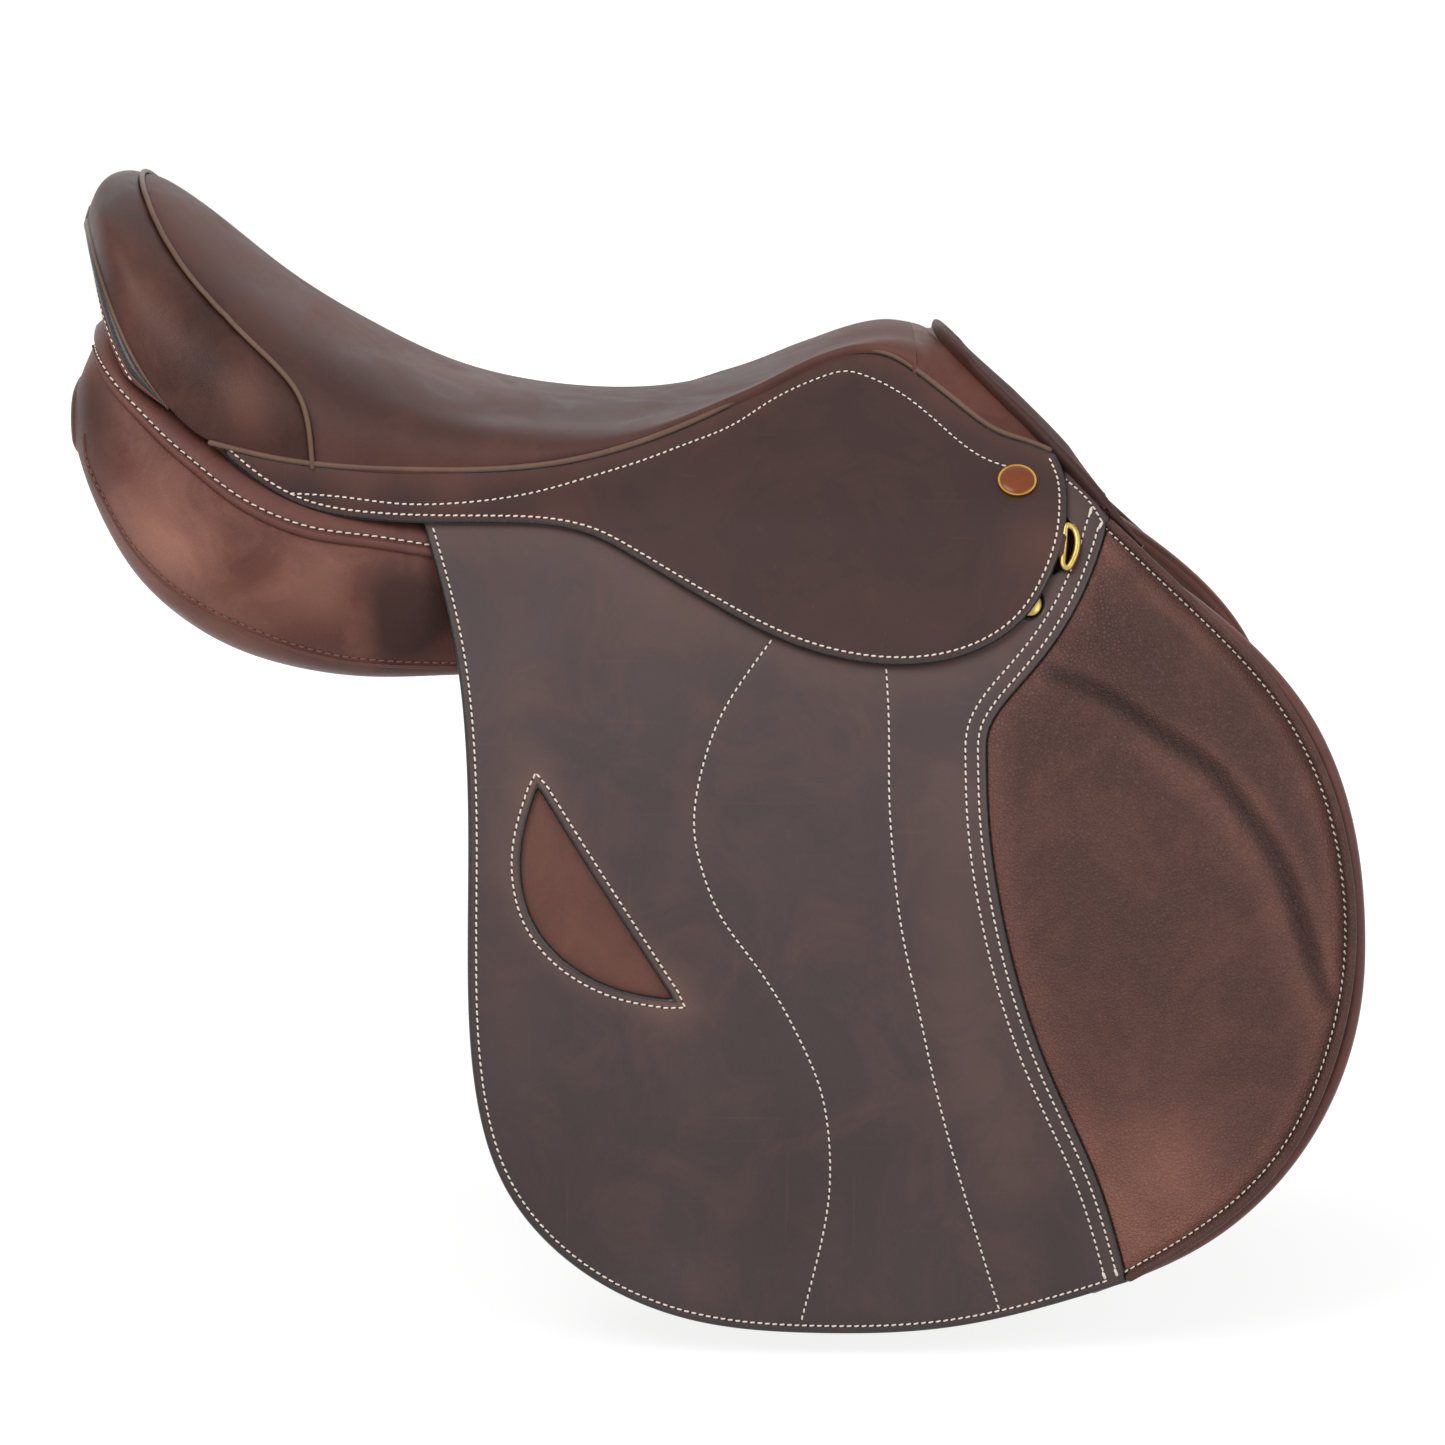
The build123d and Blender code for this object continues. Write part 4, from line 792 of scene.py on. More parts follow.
def cut_sheet(name, loop, place, inner, outer, materials, holes=(), seams=(), wear_and_light_marks=(), spacing=4.0,
              edge=1.0, relief=None, groove=0.4, drop=0.0):
    """A sheet of leather cut to a loop; its materials are for its face, its edges and its back.
    seams are stitch lines that sink into it; its marks of wear and light are (line, reach, strength):
    above zero for wear and painted highlights, below zero for painted shade; relief gives extra
    height at points; drop rounds its rim off by that much."""
    loops = [(loop, 1)] + [(hole, -1) for hole in holes]
    front_loops = [inset(line, edge * sign) for line, sign in loops]
    seam_points = np.concatenate([np.zeros((0, 2)), *[inset(seam, offset, False) for seam in seams
                                                      for offset in GROOVE_ROWS]])
    low, high = loop.min(axis=0), loop.max(axis=0)
    columns = np.arange(low[0], high[0], spacing)
    rows = np.arange(low[1], high[1], spacing * FILL_ROWS)
    fill = np.array([(x + (i % 2) * spacing / 2, y) for i, y in enumerate(rows) for x in columns])
    rims = np.concatenate(front_loops)
    near_rims = np.concatenate([inset(front, RIM_ROW * sign) for front, (_, sign) in zip(front_loops, loops)])

    def keep(points, gap_rim, others=None, gap=0.0):
        good = inside(points, front_loops[0]) & (nearest(points, rims) > gap_rim)
        for hole in front_loops[1:]:
            good &= ~inside(points, hole)
        if others is not None and len(others):
            good &= nearest(points, others) > gap
        return points[good]

    if len(seam_points):
        seam_points = keep(seam_points, SEAM_GAP)
    near_rims = keep(near_rims, ROW_GAP, seam_points, ROW_GAP)
    fixed = np.concatenate([seam_points, near_rims])
    fill = keep(fill, spacing * FILL_GAP, fixed, spacing * FILL_GAP)
    flat = np.concatenate([rims, fixed, fill])
    edges, start = [], 0
    for front in front_loops:
        edges += [(start + i, start + (i + 1) % len(front)) for i in range(len(front))]
        start += len(front)
    points, _, triangles, origin, *_ = geometry.delaunay_2d_cdt([Vector(p) for p in flat], edges, [], 0, 1e-5)
    points = np.array([tuple(p) for p in points])
    index_of = {}
    for new, olds in enumerate(origin):
        for old in olds:
            index_of[old] = new
    triangles = np.array([tuple(t) for t in triangles])
    middles = points[triangles].mean(axis=1)
    good = inside(middles, front_loops[0])
    for hole in front_loops[1:]:
        good &= ~inside(middles, hole)
    triangles = triangles[good]
    a, b, c = (points[triangles[:, k]] for k in range(3))
    area = (b[:, 0] - a[:, 0]) * (c[:, 1] - a[:, 1]) - (b[:, 1] - a[:, 1]) * (c[:, 0] - a[:, 0])
    triangles, area = triangles[np.abs(area) > 1e-6], area[np.abs(area) > 1e-6]
    triangles[area < 0] = triangles[area < 0][:, ::-1]

    def height(at, rim_gap):
        up = np.zeros(len(at))
        if relief is not None:
            up += relief(at)
        if drop:
            up -= drop * np.exp(-rim_gap / DROP_REACH)
        for seam in seams:
            up -= groove * np.exp(-(nearest(at, smooth(seam, 0.8)) / GROOVE_REACH) ** 2)
        return up

    # Adds up the wear, the painted highlights and the painted shade at each point.
    def surface_marks(at):
        total = np.zeros(len(at))
        for line, reach, strength in wear_and_light_marks:
            total += strength * np.exp(-(nearest(at, line) / reach) ** 2)
        return total

    rim_gap = nearest(points, rims)
    front_heights = height(points, rim_gap)
    front = place(points, outer + front_heights)
    back = place(points, np.full(len(points), float(inner)))
    vertices = [front, back]
    wear_and_light = [surface_marks(points), np.zeros(len(points))]
    faces = [tuple(t) for t in triangles] + [tuple(t[::-1] + len(points)) for t in triangles]
    painted = [0] * len(triangles) + [2] * len(triangles)
    base = 2 * len(points)
    start = 0
    for line, sign in loops:
        count = len(line)
        first = [index_of[start + i] for i in range(count)]
        top = front_heights[first]
        depth = min(edge, (outer - inner) * 0.5)
        ladder = [first]
        for reach, level in EDGE_SHAPE:
            at = inset(line, edge * (1 - reach) * sign)
            if level > 0:
                out = outer + top - depth * level
            else:
                out = np.full(count, inner - depth * level)
            vertices.append(place(at, out))
            wear_and_light.append(np.zeros(count))
            ladder.append(list(range(base, base + count)))
            base += count
        ladder.append([i + len(points) for i in first])
        for upper, lower in zip(ladder, ladder[1:]):
            for i in range(count):
                k = (i + 1) % count
                faces.append((upper[i], lower[i], lower[k], upper[k]))
                painted.append(1)
        start += count
    faces = [tuple(int(i) for i in face) for face in faces]
    vertices, wear_and_light = np.concatenate(vertices), np.concatenate(wear_and_light)
    return face_outwards(add_object(name, vertices, faces, materials, painted, wear_and_light))


def seat_pair(x, y):
    """The seat-skin pair under a point in plan."""
    s = np.interp(x, seat_rows[:, 0], seat_travel)
    row = int(round(np.interp(s, seat_travel, np.arange(len(seat_travel)))))
    half = np.maximum.accumulate(seat_grid[row, SEAT_COLUMNS:, 1]) + 1e-6 * np.arange(SEAT_COLUMNS + 1)
    return s, np.interp(y, half, seat_columns[SEAT_COLUMNS:])


# Plan of the piping's right half, from the midline behind to the rim.
PIPING_PLAN = [(-207, 0), (-204, 30), (-196, 55), (-185, 73), (-168, 87), (-148, 98), (-130, 107),
               (-122, 113)]
PIPING_DEPTH, PIPING_REACH = 1.5, 2.6
half_piping = [seat_pair(x, y) for x, y in smooth(PIPING_PLAN, 3.0)]
half_piping[-1] = (half_piping[-1][0] + 1.0, SEAT_HALF_ARC)
piping_line = smooth(([(s, -w) for s, w in half_piping[:0:-1]] + half_piping)[::2], 2.0)
centre_loop, wing_loop = (
    closed(piping_line, *runs(piping_line[-1], (end, SEAT_HALF_ARC), (end, -SEAT_HALF_ARC), piping_line[0]))
    for end in (SEAT_END, 0))


def sunk_at_piping(points):
    """The seat's skin is drawn down where the piping is sewn in."""
    return -PIPING_DEPTH * np.exp(-nearest(points, smooth(piping_line, 0.8)) / PIPING_REACH)


# A band on either side of the crown is lightened as a painted highlight; the seat also reddens towards its
# front and its sides.
crown_line = [(s, side * 30.0) for s in np.linspace(60, 200, 60) for side in (-1, 1)]
front_red = [(SEAT_END, w) for w in np.linspace(-SEAT_HALF_ARC, SEAT_HALF_ARC, 120)]
side_red = [(s, w * SEAT_HALF_ARC) for w in (-1, 1) for s in np.linspace(120, SEAT_END, 100)]
# Painted highlights and painted shade on the wings, as ((x, y) in plan, reach, strength), and a line of
# painted shade along the piping's groove.
WING_LIGHT_AND_SHADE = [((-203, 88), 28.0, 0.5), ((-152, 112), 14.0, 0.5), ((-226, 30), 28.0, -0.35),
             ((-165, 98), 17.0, -0.3)]
wing_painted_light = [(piping_line, 2.0, -0.7)]
for spot, reach, strength in WING_LIGHT_AND_SHADE:
    s, w = seat_pair(*spot)
    wing_painted_light += [([(s, way * w)], reach, strength) for way in (-1, 1)]
# The centre panel: redder towards its front and sides, painted shade along the piping's groove, and a painted
# highlight along the crown.
centre_wear_and_light = [(front_red, 60.0, 0.5), (side_red, 26.0, 0.35), (piping_line, 2.0, -0.6),
               (crown_line, 40.0, 0.5)]
for name, node_name, loop, face, wear_and_light_marks, slot in (
        ("seat_centre", "seat_cover", centre_loop, seat_hide, centre_wear_and_light, "seat_leather"),
        ("cantle_wings", "cantle_facing", wing_loop, wing_hide, wing_painted_light, "calf_leather")):
    skin = cut_sheet(name, loop, seat_place, -3.0, 0.0, [face, wing_hide, wing_hide], relief=sunk_at_piping,
                     edge=0.6, wear_and_light_marks=wear_and_light_marks)
    dress(skin, [node_name], slot)
seat_piping = tube("seat_piping_cord", seat_place(piping_line, 0.1), 1.2, bronze_piping, sides=14,
                   up=(0.3, 0, 1))
dress(seat_piping, ["seat_piping"], "piping")

# Under the seat, a leather lining closes the foam down to the gullet.
LINING_THICKNESS = 3.5
rings = []
for row, (x, rim, *_, gullet) in zip(seat_grid, seat_rows):
    inner = min(UNDERSIDE_HALF_WIDTH, 0.6 * rim)
    edge_z = row[0][2]
    half = [(inner, gullet - 2), ((rim + inner) / 2, (edge_z + gullet) / 2 + 1), (rim - 1.5, edge_z + 1.0)]
    line = smooth([(-y, z) for y, z in half[::-1]] + [(0, gullet - 1)] + half, 1.0)
    section = read_off(np.linspace(0, 1, 33), np.linspace(0, 1, len(line)), line)
    low = np.column_stack([np.full(33, x), section])
    rings.append(np.concatenate([low, (low + [0, 0, LINING_THICKNESS])[::-1]]))
dress(ring_loft("seat_foam_lining", rings, wing_hide), ["seat_foam"], "foam")

# Round the cantle the cover's edge is bound: a fine piping, a black band, and a brown band with a
# row of white stitches that holds the back leather.
RIM_FRONT_X = -184.0
rim_rows = [i for i, values in enumerate(seat_rows) if values[0] <= RIM_FRONT_X]
rim_pairs = np.array([(seat_travel[i], -SEAT_HALF_ARC) for i in rim_rows[::-1]]
                     + [(seat_travel[i], SEAT_HALF_ARC) for i in rim_rows])
chosen = np.r_[0:len(rim_rows) - 3:3, len(rim_rows) - 1]
chosen = np.r_[chosen, 2 * len(rim_rows) - 1 - chosen[::-1]]
rim_path = smooth(seat_place(rim_pairs)[chosen], 2.0)
rim_in = smooth(seat_place(rim_pairs + (np.array([120.0, 0.0]) - rim_pairs) * 0.04)[chosen], 2.0)
rim_in = read_off(np.linspace(0, 1, len(rim_path)), np.linspace(0, 1, len(rim_in)), rim_in)
rim_run = unit(np.gradient(rim_path, axis=0))
rim_down = unit(rim_path - rim_in)
behind = np.clip(1.5 - np.abs(rim_path[:, 1:2]) / 60.0, 0, 1)
rim_down = rim_down * (1 - behind) + np.array([0.2, 0.0, -1.0]) * behind
rim_down -= rim_run * np.sum(rim_down * rim_run, axis=1)[:, None]
rim_down = unit(rim_down)
rim_out = np.cross(rim_run, rim_down)
rim_out *= np.sign(np.sum(rim_out * (rim_path - [-150, 0, 120]), axis=1).mean())


def rim_band(name, profile, material, slot, nodes=()):
    """A strip round the cantle; its profile is in (outwards, downwards) millimetres from the rim."""
    section = smooth([*profile, profile[0]], 0.7)[:-1]
    fade = np.clip(np.minimum(np.arange(len(rim_path)), np.arange(len(rim_path))[::-1]) / 12.0, 0.12, 1.0)
    rings = [point + np.outer(section[:, 0], out) * size + np.outer(section[:, 1], down) * size
             for point, out, down, size in zip(rim_path, rim_out, rim_down, fade)]
    dress(ring_loft(name, rings, material), nodes, slot)


end_section = seat_grid[0] * [1, 0.97, 1] - [0, 0, 0.6]
end_middle = end_section.mean(axis=0)
CANTLE_END = [(1.0, -3.0), (1.1, -0.4), (1.1, 0.2), (1.0, 0.7), (0.5, 1.1)]
end_rings = [end_middle + (end_section - end_middle) * size - [out, 0, 0] for size, out in CANTLE_END]
dress(ring_loft("cantle_end", end_rings, wing_hide), [], "calf_leather")
rim_band("cantle_binding_band", [(-2, 0.4), (0.6, 0.2), (1.8, 1.4), (1.9, 3.2), (0.9, 4.6), (-2, 4.6)],
         black_edge, "edge_leather", ["cantle_binding"])
rim_band("cantle_back_band", [(-4, 3.4), (0.2, 3.6), (1.2, 4.6), (1.2, 6.4), (0.2, 7.6), (-4, 7.6)],
         roll_calf, "calf_leather")
rim_band("cantle_rim_piping", [(-0.6, -0.8), (0.5, -0.9), (1.0, -0.1), (0.5, 0.7), (-0.6, 0.7)],
         bronze_piping, "piping")


def rim_place(points, out=0.0):
    """Places (point number, downwards) pairs on the cantle's bands."""
    points = np.asarray(points, float)
    path, outwards, down = (read_off(points[:, 0], np.arange(len(rim_path)), values)
                            for values in (rim_path, rim_out, rim_down))
    return path + outwards * np.reshape(out, (-1, 1)) + down * points[:, 1:]


band_row = np.array([(i, 5.6) for i in np.arange(10, len(rim_path) - 10, 1.0)])
dress(stitches("cantle_band_stitches", [band_row], rim_place, 1.3, radius=0.35), [], "calf_leather")

# ---------------------------------------------------------------- sweat flaps
# A sweat flap of soft calf lies against the horse on each side. It is stitched to the panel, and
# a stuffed roll is bound along its front edge.

# The side surface that the panel and the tree points lie under; a layer is given by its distance
# outwards from it.
SKIRT_HINGE_Z, SKIRT_HINGE_HALF_WIDTH = 68.0, 98.0
FLAP_HINGE_Z, FLAP_HINGE_HALF_WIDTH = 8.0, 123.0
KNEE_Z = -100.0
FLARE_HEIGHT = 20.0
REAR_SLOPE, FRONT_SLOPE = -0.02, 0.93
TWIST_REAR_X, TWIST_FRONT_X = -20.0, 100.0
LOWER_SLOPE = (FLAP_HINGE_HALF_WIDTH - SKIRT_HINGE_HALF_WIDTH) / (SKIRT_HINGE_Z - FLAP_HINGE_Z)


def half_width(x, z, out=0.0):
    """Half-width of the layer that lies `out` outside the side surface."""
    t = np.clip((x - TWIST_REAR_X) / (TWIST_FRONT_X - TWIST_REAR_X), 0, 1)
    lean = REAR_SLOPE + (FRONT_SLOPE - REAR_SLOPE) * t * t * (3 - 2 * t)
    rise = np.maximum(z - SKIRT_HINGE_Z, 0)
    bend = np.minimum(rise, FLARE_HEIGHT)
    upper = LOWER_SLOPE * bend + (lean - LOWER_SLOPE) * bend ** 2 / (2 * FLARE_HEIGHT) + lean * (rise - bend)
    middle = np.clip(z, FLAP_HINGE_Z, SKIRT_HINGE_Z)
    drop = np.clip(FLAP_HINGE_Z - z, 0, FLAP_HINGE_Z - KNEE_Z)
    lower = SKIRT_HINGE_Z - middle + drop - drop ** 2 / (2 * (FLAP_HINGE_Z - KNEE_Z))
    return SKIRT_HINGE_HALF_WIDTH + out - upper + LOWER_SLOPE * lower


def side_place(points, out=0.0):
    """Places side-view points on a layer of the right side."""
    points = np.asarray(points, float)
    x, z = points[:, 0], points[:, 1]
    return np.stack([x, -half_width(x, z, np.asarray(out, float)), z], axis=1)


SWEAT_IN, SWEAT_OUT = 0.0, 3.0
SWEAT_FRONT = [(243.5, 60.5), (282, 32.5), (319.5, -8.5), (337.5, -56), (342.5, -98), (342, -130),
               (331.5, -173), (308, -213), (272, -244.5), (226, -265)]
SWEAT_EDGE = [(226, -265), (160, -270), (101, -271), (50, -266), (2, -244), (-28, -209), (-39, -170),
              (-42, -110), (-42, -34), (-42, 20)]
SWEAT_ROW_INSET, ROLL_RADIUS = 4.0, 4.0
sweat_hide = leather("sweat_hide", "5d3d34", "40291f", "7b5141", Grain_Scale=1200.0, Grain=0.45, Mottle=0.5,
                     Scratches=0.05, Shine=0.5)
sweat_loop = closed(SWEAT_FRONT, SWEAT_EDGE, *runs((-42, 20), (185, 20), (190, 90), (198, 106), (236, 66.5),
                                                   (243.5, 60.5)))
sweat_row = inset(smooth(SWEAT_EDGE, 2.0), -SWEAT_ROW_INSET, False)
sweat_flap = cut_sheet("sweat_flap_right", sweat_loop, side_place, SWEAT_IN, SWEAT_OUT,
                       [sweat_hide] * 3, seams=[sweat_row], spacing=6.0, edge=1.2)
hand_over(sweat_flap, ["sweat_flap"], "lining_leather")
sewn("sweat_flap_stitches", [sweat_row], side_place, SWEAT_OUT - 0.2, "lining_leather")
roll_line = inset(smooth(SWEAT_FRONT, 3.0), -ROLL_RADIUS + 0.6, False)
edge_roll = tube("edge_roll_right", side_place(roll_line, 5.0), ROLL_RADIUS, roll_calf, sides=20,
                 flatten=1.32, up=(0, -1, 0))
hand_over(edge_roll, ["edge_roll"], "lining_leather")

# ---------------------------------------------------------------- knee blocks and point pockets
# A moulded foam block under the flap holds the rider's knee, covered with the same calf; a
# leather pocket on the panel takes the tree's point.
KNEE_BLOCK = [[(262, -8), (293, -20), (310, -60), (312, -100)], [(312, -100), (290, -104)],
              [(290, -104), (282, -62), (262, -36)], [(262, -36), (262, -8)]]
BLOCK_OUT, BLOCK_SWELL = 7.8, 0.8
block_loop = closed(*KNEE_BLOCK)


def block_swell(points):
    """The block swells a little from its edge."""
    return BLOCK_SWELL * (1 - np.exp(-nearest(points, block_loop) / 5.0))


knee_block = cut_sheet("knee_block_right", block_loop, side_place, SWEAT_OUT + 0.1, BLOCK_OUT,
                       [sweat_hide] * 3, spacing=3.0, edge=2.2, relief=block_swell)
hand_over(knee_block, ["knee_block"], "foam")
for side in ("right", "left"):
    keep_node(f"point_pocket_{side}", sweat_hide)

# ---------------------------------------------------------------- billets
# Three girth straps of bridle leather on each side are stitched to the webs over the tree, with
# edges painted black and seven punched holes.
BILLET_IN, BILLET_OUT = 3.4, 6.4
BILLET_WIDTH = 25.0
BILLET_TOP_Z, BILLET_FOOT_Z = 66.0, -222.0
BILLET_LAST_HOLE_Z, BILLET_HOLE_PITCH, BILLET_HOLES, BILLET_HOLE_RADIUS = -208.0, 24.0, 7, 3.0
BILLET_ROW_INSET, BILLET_ROW_DROP = 3.2, 6
BILLETS = {"rear": 0.0, "middle": 40.0, "front": 80.0}
strap_hide = leather("strap_hide", "4a2f27", "30201b", "6a4434", Grain_Scale=1700.0, Grain=0.3, Mottle=0.5,
                     Scratches=0.1, Shine=0.42)


def circle(x, z, radius, count):
    """Even points round a circle."""
    turn = np.linspace(0, 2 * math.pi, count + 1)[:-1]
    return np.stack([x + radius * np.cos(turn), z + radius * np.sin(turn)], axis=1)


half = BILLET_WIDTH / 2
for place_name, x in BILLETS.items():
    foot = [(x - half, BILLET_FOOT_Z), (x - half / 2, BILLET_FOOT_Z - 9), (x, BILLET_FOOT_Z - 12),
            (x + half / 2, BILLET_FOOT_Z - 9), (x + half, BILLET_FOOT_Z)]
    loop = closed([(x - half, BILLET_TOP_Z), foot[0]], foot,
                  *runs(foot[-1], (x + half, BILLET_TOP_Z), (x - half, BILLET_TOP_Z)))
    holes = [circle(x, BILLET_LAST_HOLE_Z + number * BILLET_HOLE_PITCH, BILLET_HOLE_RADIUS, 16)
             for number in range(BILLET_HOLES)]
    rows = [smooth([(row_x, BILLET_TOP_Z - BILLET_ROW_DROP), (row_x, BILLET_FOOT_Z)])
            for row_x in (x + way * (half - BILLET_ROW_INSET) for way in (-1, 1))]
    billet = cut_sheet(f"billet_{place_name}_right", loop, side_place, BILLET_IN, BILLET_OUT,
                       [strap_hide, black_edge, strap_hide], holes=holes, seams=rows, spacing=5.0, edge=0.9)
    hand_over(billet, [f"billet_{place_name}"], "strap_leather", body=f"billet_{place_name}")
    sewn(f"billet_{place_name}_stitches", rows, side_place, BILLET_OUT - 0.2, "strap_leather",
         body=f"billet_{place_name}")

# ---------------------------------------------------------------- flaps
# Each flap is a sheet of thick waxed leather over a soft calf lining. A calf knee pad is let in
# behind its front edge, and a slot cut near its rear edge shows the red lining.
LINING_IN, FLAP_IN, FLAP_OUT = 9.0, 11.0, 15.0
FLAP_BEND = ("flap", -14.0, 20.0)
LINING_EDGE = [(-47, 7.5), (-44, -34), (-44, -110), (-41, -170), (-30, -210), (0, -244), (48, -267),
               (101, -272), (160, -269), (228, -252)]
LINING_FRONT = [(228, -252), (265, -222), (294, -194), (314, -160), (323, -118), (322, -76), (312, -34),
                (293, 7.5)]
lining_hide = leather("lining_hide", "65433b", "4c3029", "855a49", Grain_Scale=1000.0, Grain=0.55, Mottle=0.4,
                      Scratches=0.03, Shine=0.48)
lining_loop = closed(LINING_EDGE, LINING_FRONT, *runs((293, 7.5), (-47, 7.5)))
lining = cut_sheet("flap_lining_right", lining_loop, side_place, LINING_IN, FLAP_IN, [lining_hide] * 3,
                   spacing=6.0, edge=0.8)
hand_over(lining, ["flap_lining"], "lining_leather", body="flap")

FLAP_REAR = [(-74, 78), (-67, 56), (-59, 26), (-55, 8)]
FLAP_EDGE = [(-52, -34), (-52, -110), (-49, -172), (-37, -214), (-6, -251), (46, -276), (101, -282),
             (160, -279.5), (240, -258.5)]
FLAP_TOP_FRONT = [(214, 97), (226, 86.5), (232, 77)]
FLAP_FRONT = [(232, 77), (227, 62), (217, 40), (205, 22), (190.5, 5.5), (181, -5.5), (177, -13), (176, -24),
              (176.4, -44), (184, -98), (203, -160), (226, -212), (240, -258.5)]
FLAP_HIDDEN_TOP = [(214, 97), (190, 98), (150, 108), (110, 118), (70, 108), (30, 92), (-30, 84), (-74, 78)]
BAR_WINDOW = [(82, 30), (152, 30), (152, 66), (82, 66)]
DEE_WINDOW = [(196, 54), (206, 54), (213.3, 56.8), (215.3, 60), (216, 68), (215, 73.5), (211, 77), (196, 77)]
FLAP_STUD, FLAP_STUD_RADIUS = (195.8, 40.6), 5.3
SLOT_TOP, SLOT_FOOT = (-21, -37), (38, -130)
SLOT_CURVE = [(-21, -37), (-27.5, -60), (-27, -83), (-22, -97), (-13, -109), (0, -119), (16, -126),
              (38, -130)]
flap_hide = leather("flap_hide", "4c4040", "3b3131", "68504a", Grain_Scale=1900.0, Grain=0.12, Mottle=0.5,
                    Scratches=0.04, Shine=0.52)
FLAP_ROW_INSET, TOP_ROW_INSET, SLOT_ROW_INSET = 3.9, 4.0, 4.0
# The two rows beside the knee pad: how far in each runs, and where it meets the top edge.
FRONT_ROWS = [(4.0, (229.0, 75.8)), (9.5, (224.2, 82.0))]
edge_row = inset(smooth(FLAP_REAR[:-1] + FLAP_EDGE, 2.0), FLAP_ROW_INSET, False)[3:-4]
front_curve = smooth(FLAP_FRONT, 2.0)
front_rows = []
for gap, tip in FRONT_ROWS:
    row = inset(front_curve, -gap, False)[3:-2]
    front_rows.append(np.concatenate([smooth([tip, tuple(row[0])])[:-1], row]))
top_row = inset(smooth(FLAP_TOP_FRONT, 2.0), -TOP_ROW_INSET, False)
slot_loop = closed(SLOT_CURVE, [SLOT_FOOT, SLOT_TOP], step=2.0)
slot_row = inset(slot_loop, -SLOT_ROW_INSET)
slot_row = np.concatenate([slot_row, slot_row[:1]])
CURVED_SEAM = [(82, 26), (72, 13), (59, -7), (51, -29), (48, -44), (48, -59), (51, -72), (60, -94),
               (72, -111), (84, -129), (94, -148), (103, -170), (107, -193), (107, -220), (101, -252),
               (95, -276)]
LONG_SEAM = [(132, 14), (133, -11), (133, -38), (135, -70), (139, -101), (145, -129), (154, -170),
             (165, -211), (176, -248), (183, -271)]
body_rows = [smooth(CURVED_SEAM, 2.0), smooth(LONG_SEAM, 2.0)]
SKIRT_REAR = [(-166, 111), (-152, 98), (-128, 83), (-96, 76.5), (-42, 75)]
SKIRT_LOBE = [(4, 69), (19, 61.5), (59, 39), (91, 24), (132, 15.5), (165, 19), (193, 35), (206, 55),
              (211, 69)]
SKIRT_FRONT = [(213, 83), (212.5, 95), (209, 104)]
skirt_edge = smooth(SKIRT_REAR + SKIRT_LOBE + SKIRT_FRONT, 2.0)
stud_hole = circle(*FLAP_STUD, FLAP_STUD_RADIUS + 0.2, 24)


def window(corners):
    """A loop of straight runs between corners."""
    return closed(*runs(*corners, corners[0]), step=2.0)


flap_loop = closed(FLAP_REAR[:-1] + FLAP_EDGE, FLAP_FRONT[::-1], FLAP_TOP_FRONT[::-1], FLAP_HIDDEN_TOP)
flap_rows = [edge_row, *front_rows, top_row, slot_row, *body_rows]
# Rubbed, redder places under the skirt's edge and round the slot are wear; the lighter bands down the flap's
# front and rear, the lighter patch near its top and the darker area low down are painted highlights and
# painted shade.
flap_wear_and_light = [(skirt_edge[::2], 14.0, 0.45), (slot_row, 5.0, 0.35), ([SLOT_FOOT], 14.0, 0.8),
             ([SLOT_TOP], 10.0, 0.5), ([(195, 0), (190, -20)], 12.0, 0.5),
             (smooth([(160, -40), (166, -130), (190, -210)], 6.0), 16.0, 0.45),
             (smooth([(-30, 30), (-34, -60), (-30, -160)], 6.0), 14.0, 0.2), ([(24, 37)], 30.0, 0.25),
             ([(-10, -215), (90, -225)], 40.0, -0.4)]
flap = cut_sheet("flap_right", flap_loop, side_place, FLAP_IN, FLAP_OUT, [flap_hide, black_edge, sweat_hide],
                 holes=[slot_loop, window(BAR_WINDOW), window(DEE_WINDOW), stud_hole], seams=flap_rows,
                 spacing=4.5, edge=1.6, drop=0.5, wear_and_light_marks=flap_wear_and_light)
hand_over(flap, ["flap_top", "flap"], "flap_leather", bend=FLAP_BEND)
sewn("flap_stitches", flap_rows, side_place, FLAP_OUT - 0.15, "flap_leather", bend=FLAP_BEND)
knots = [part for row in front_rows for part in (row[:3], row[-3:])]
sewn("flap_knots", knots, side_place, FLAP_OUT + 0.1, "flap_leather", bend=FLAP_BEND, pitch=4.0, length=3.8,
     radius=0.7, holes=False)

# The knee pad: foam under grained calf, with a roll raised along its front edge.
PAD_FRONT = [(232, 77), (250, 60), (279, 33), (304, 6), (325, -31), (336, -74), (337.5, -118), (328, -164),
             (308.5, -204), (277.5, -235), (240, -258.5)]
ROLL_CREASE = [(207, 12), (225, 5), (241, -5), (257, -16), (273, -27), (286, -42), (297, -57), (307, -75),
               (315, -98), (327, -131)]
pad_hide = leather("pad_hide", "553a35", "3a2825", "84594d", Grain_Scale=560.0, Grain=1.0, Mottle=0.35,
                   Scratches=0.03, Shine=0.44, bump=0.00028)
PAD_SUNK, PAD_RISE, ROLL_RISE, CREASE_DEPTH = 3.0, 3.2, 4.6, 1.8
# How far from the flap, the seam and the crease each rise or dip reaches.
FLAP_REACH, SEAM_REACH, ROLL_SEAM_REACH = 14.0, 9.0, 5.0
ROLL_REACH, CREASE_REACH, CREASE_FADE = 3.5, 3.2, 25.0
PAD_ROW_INSET, PAD_BEAD_INSET, PAD_BEAD_RADIUS = 4.6, 1.9, 2.1
pad_edge_row = inset(smooth(PAD_FRONT, 2.0), -PAD_ROW_INSET, False)
crease_line = smooth(ROLL_CREASE, 1.0)
crease_side = inset(crease_line, 1.0, False) - crease_line


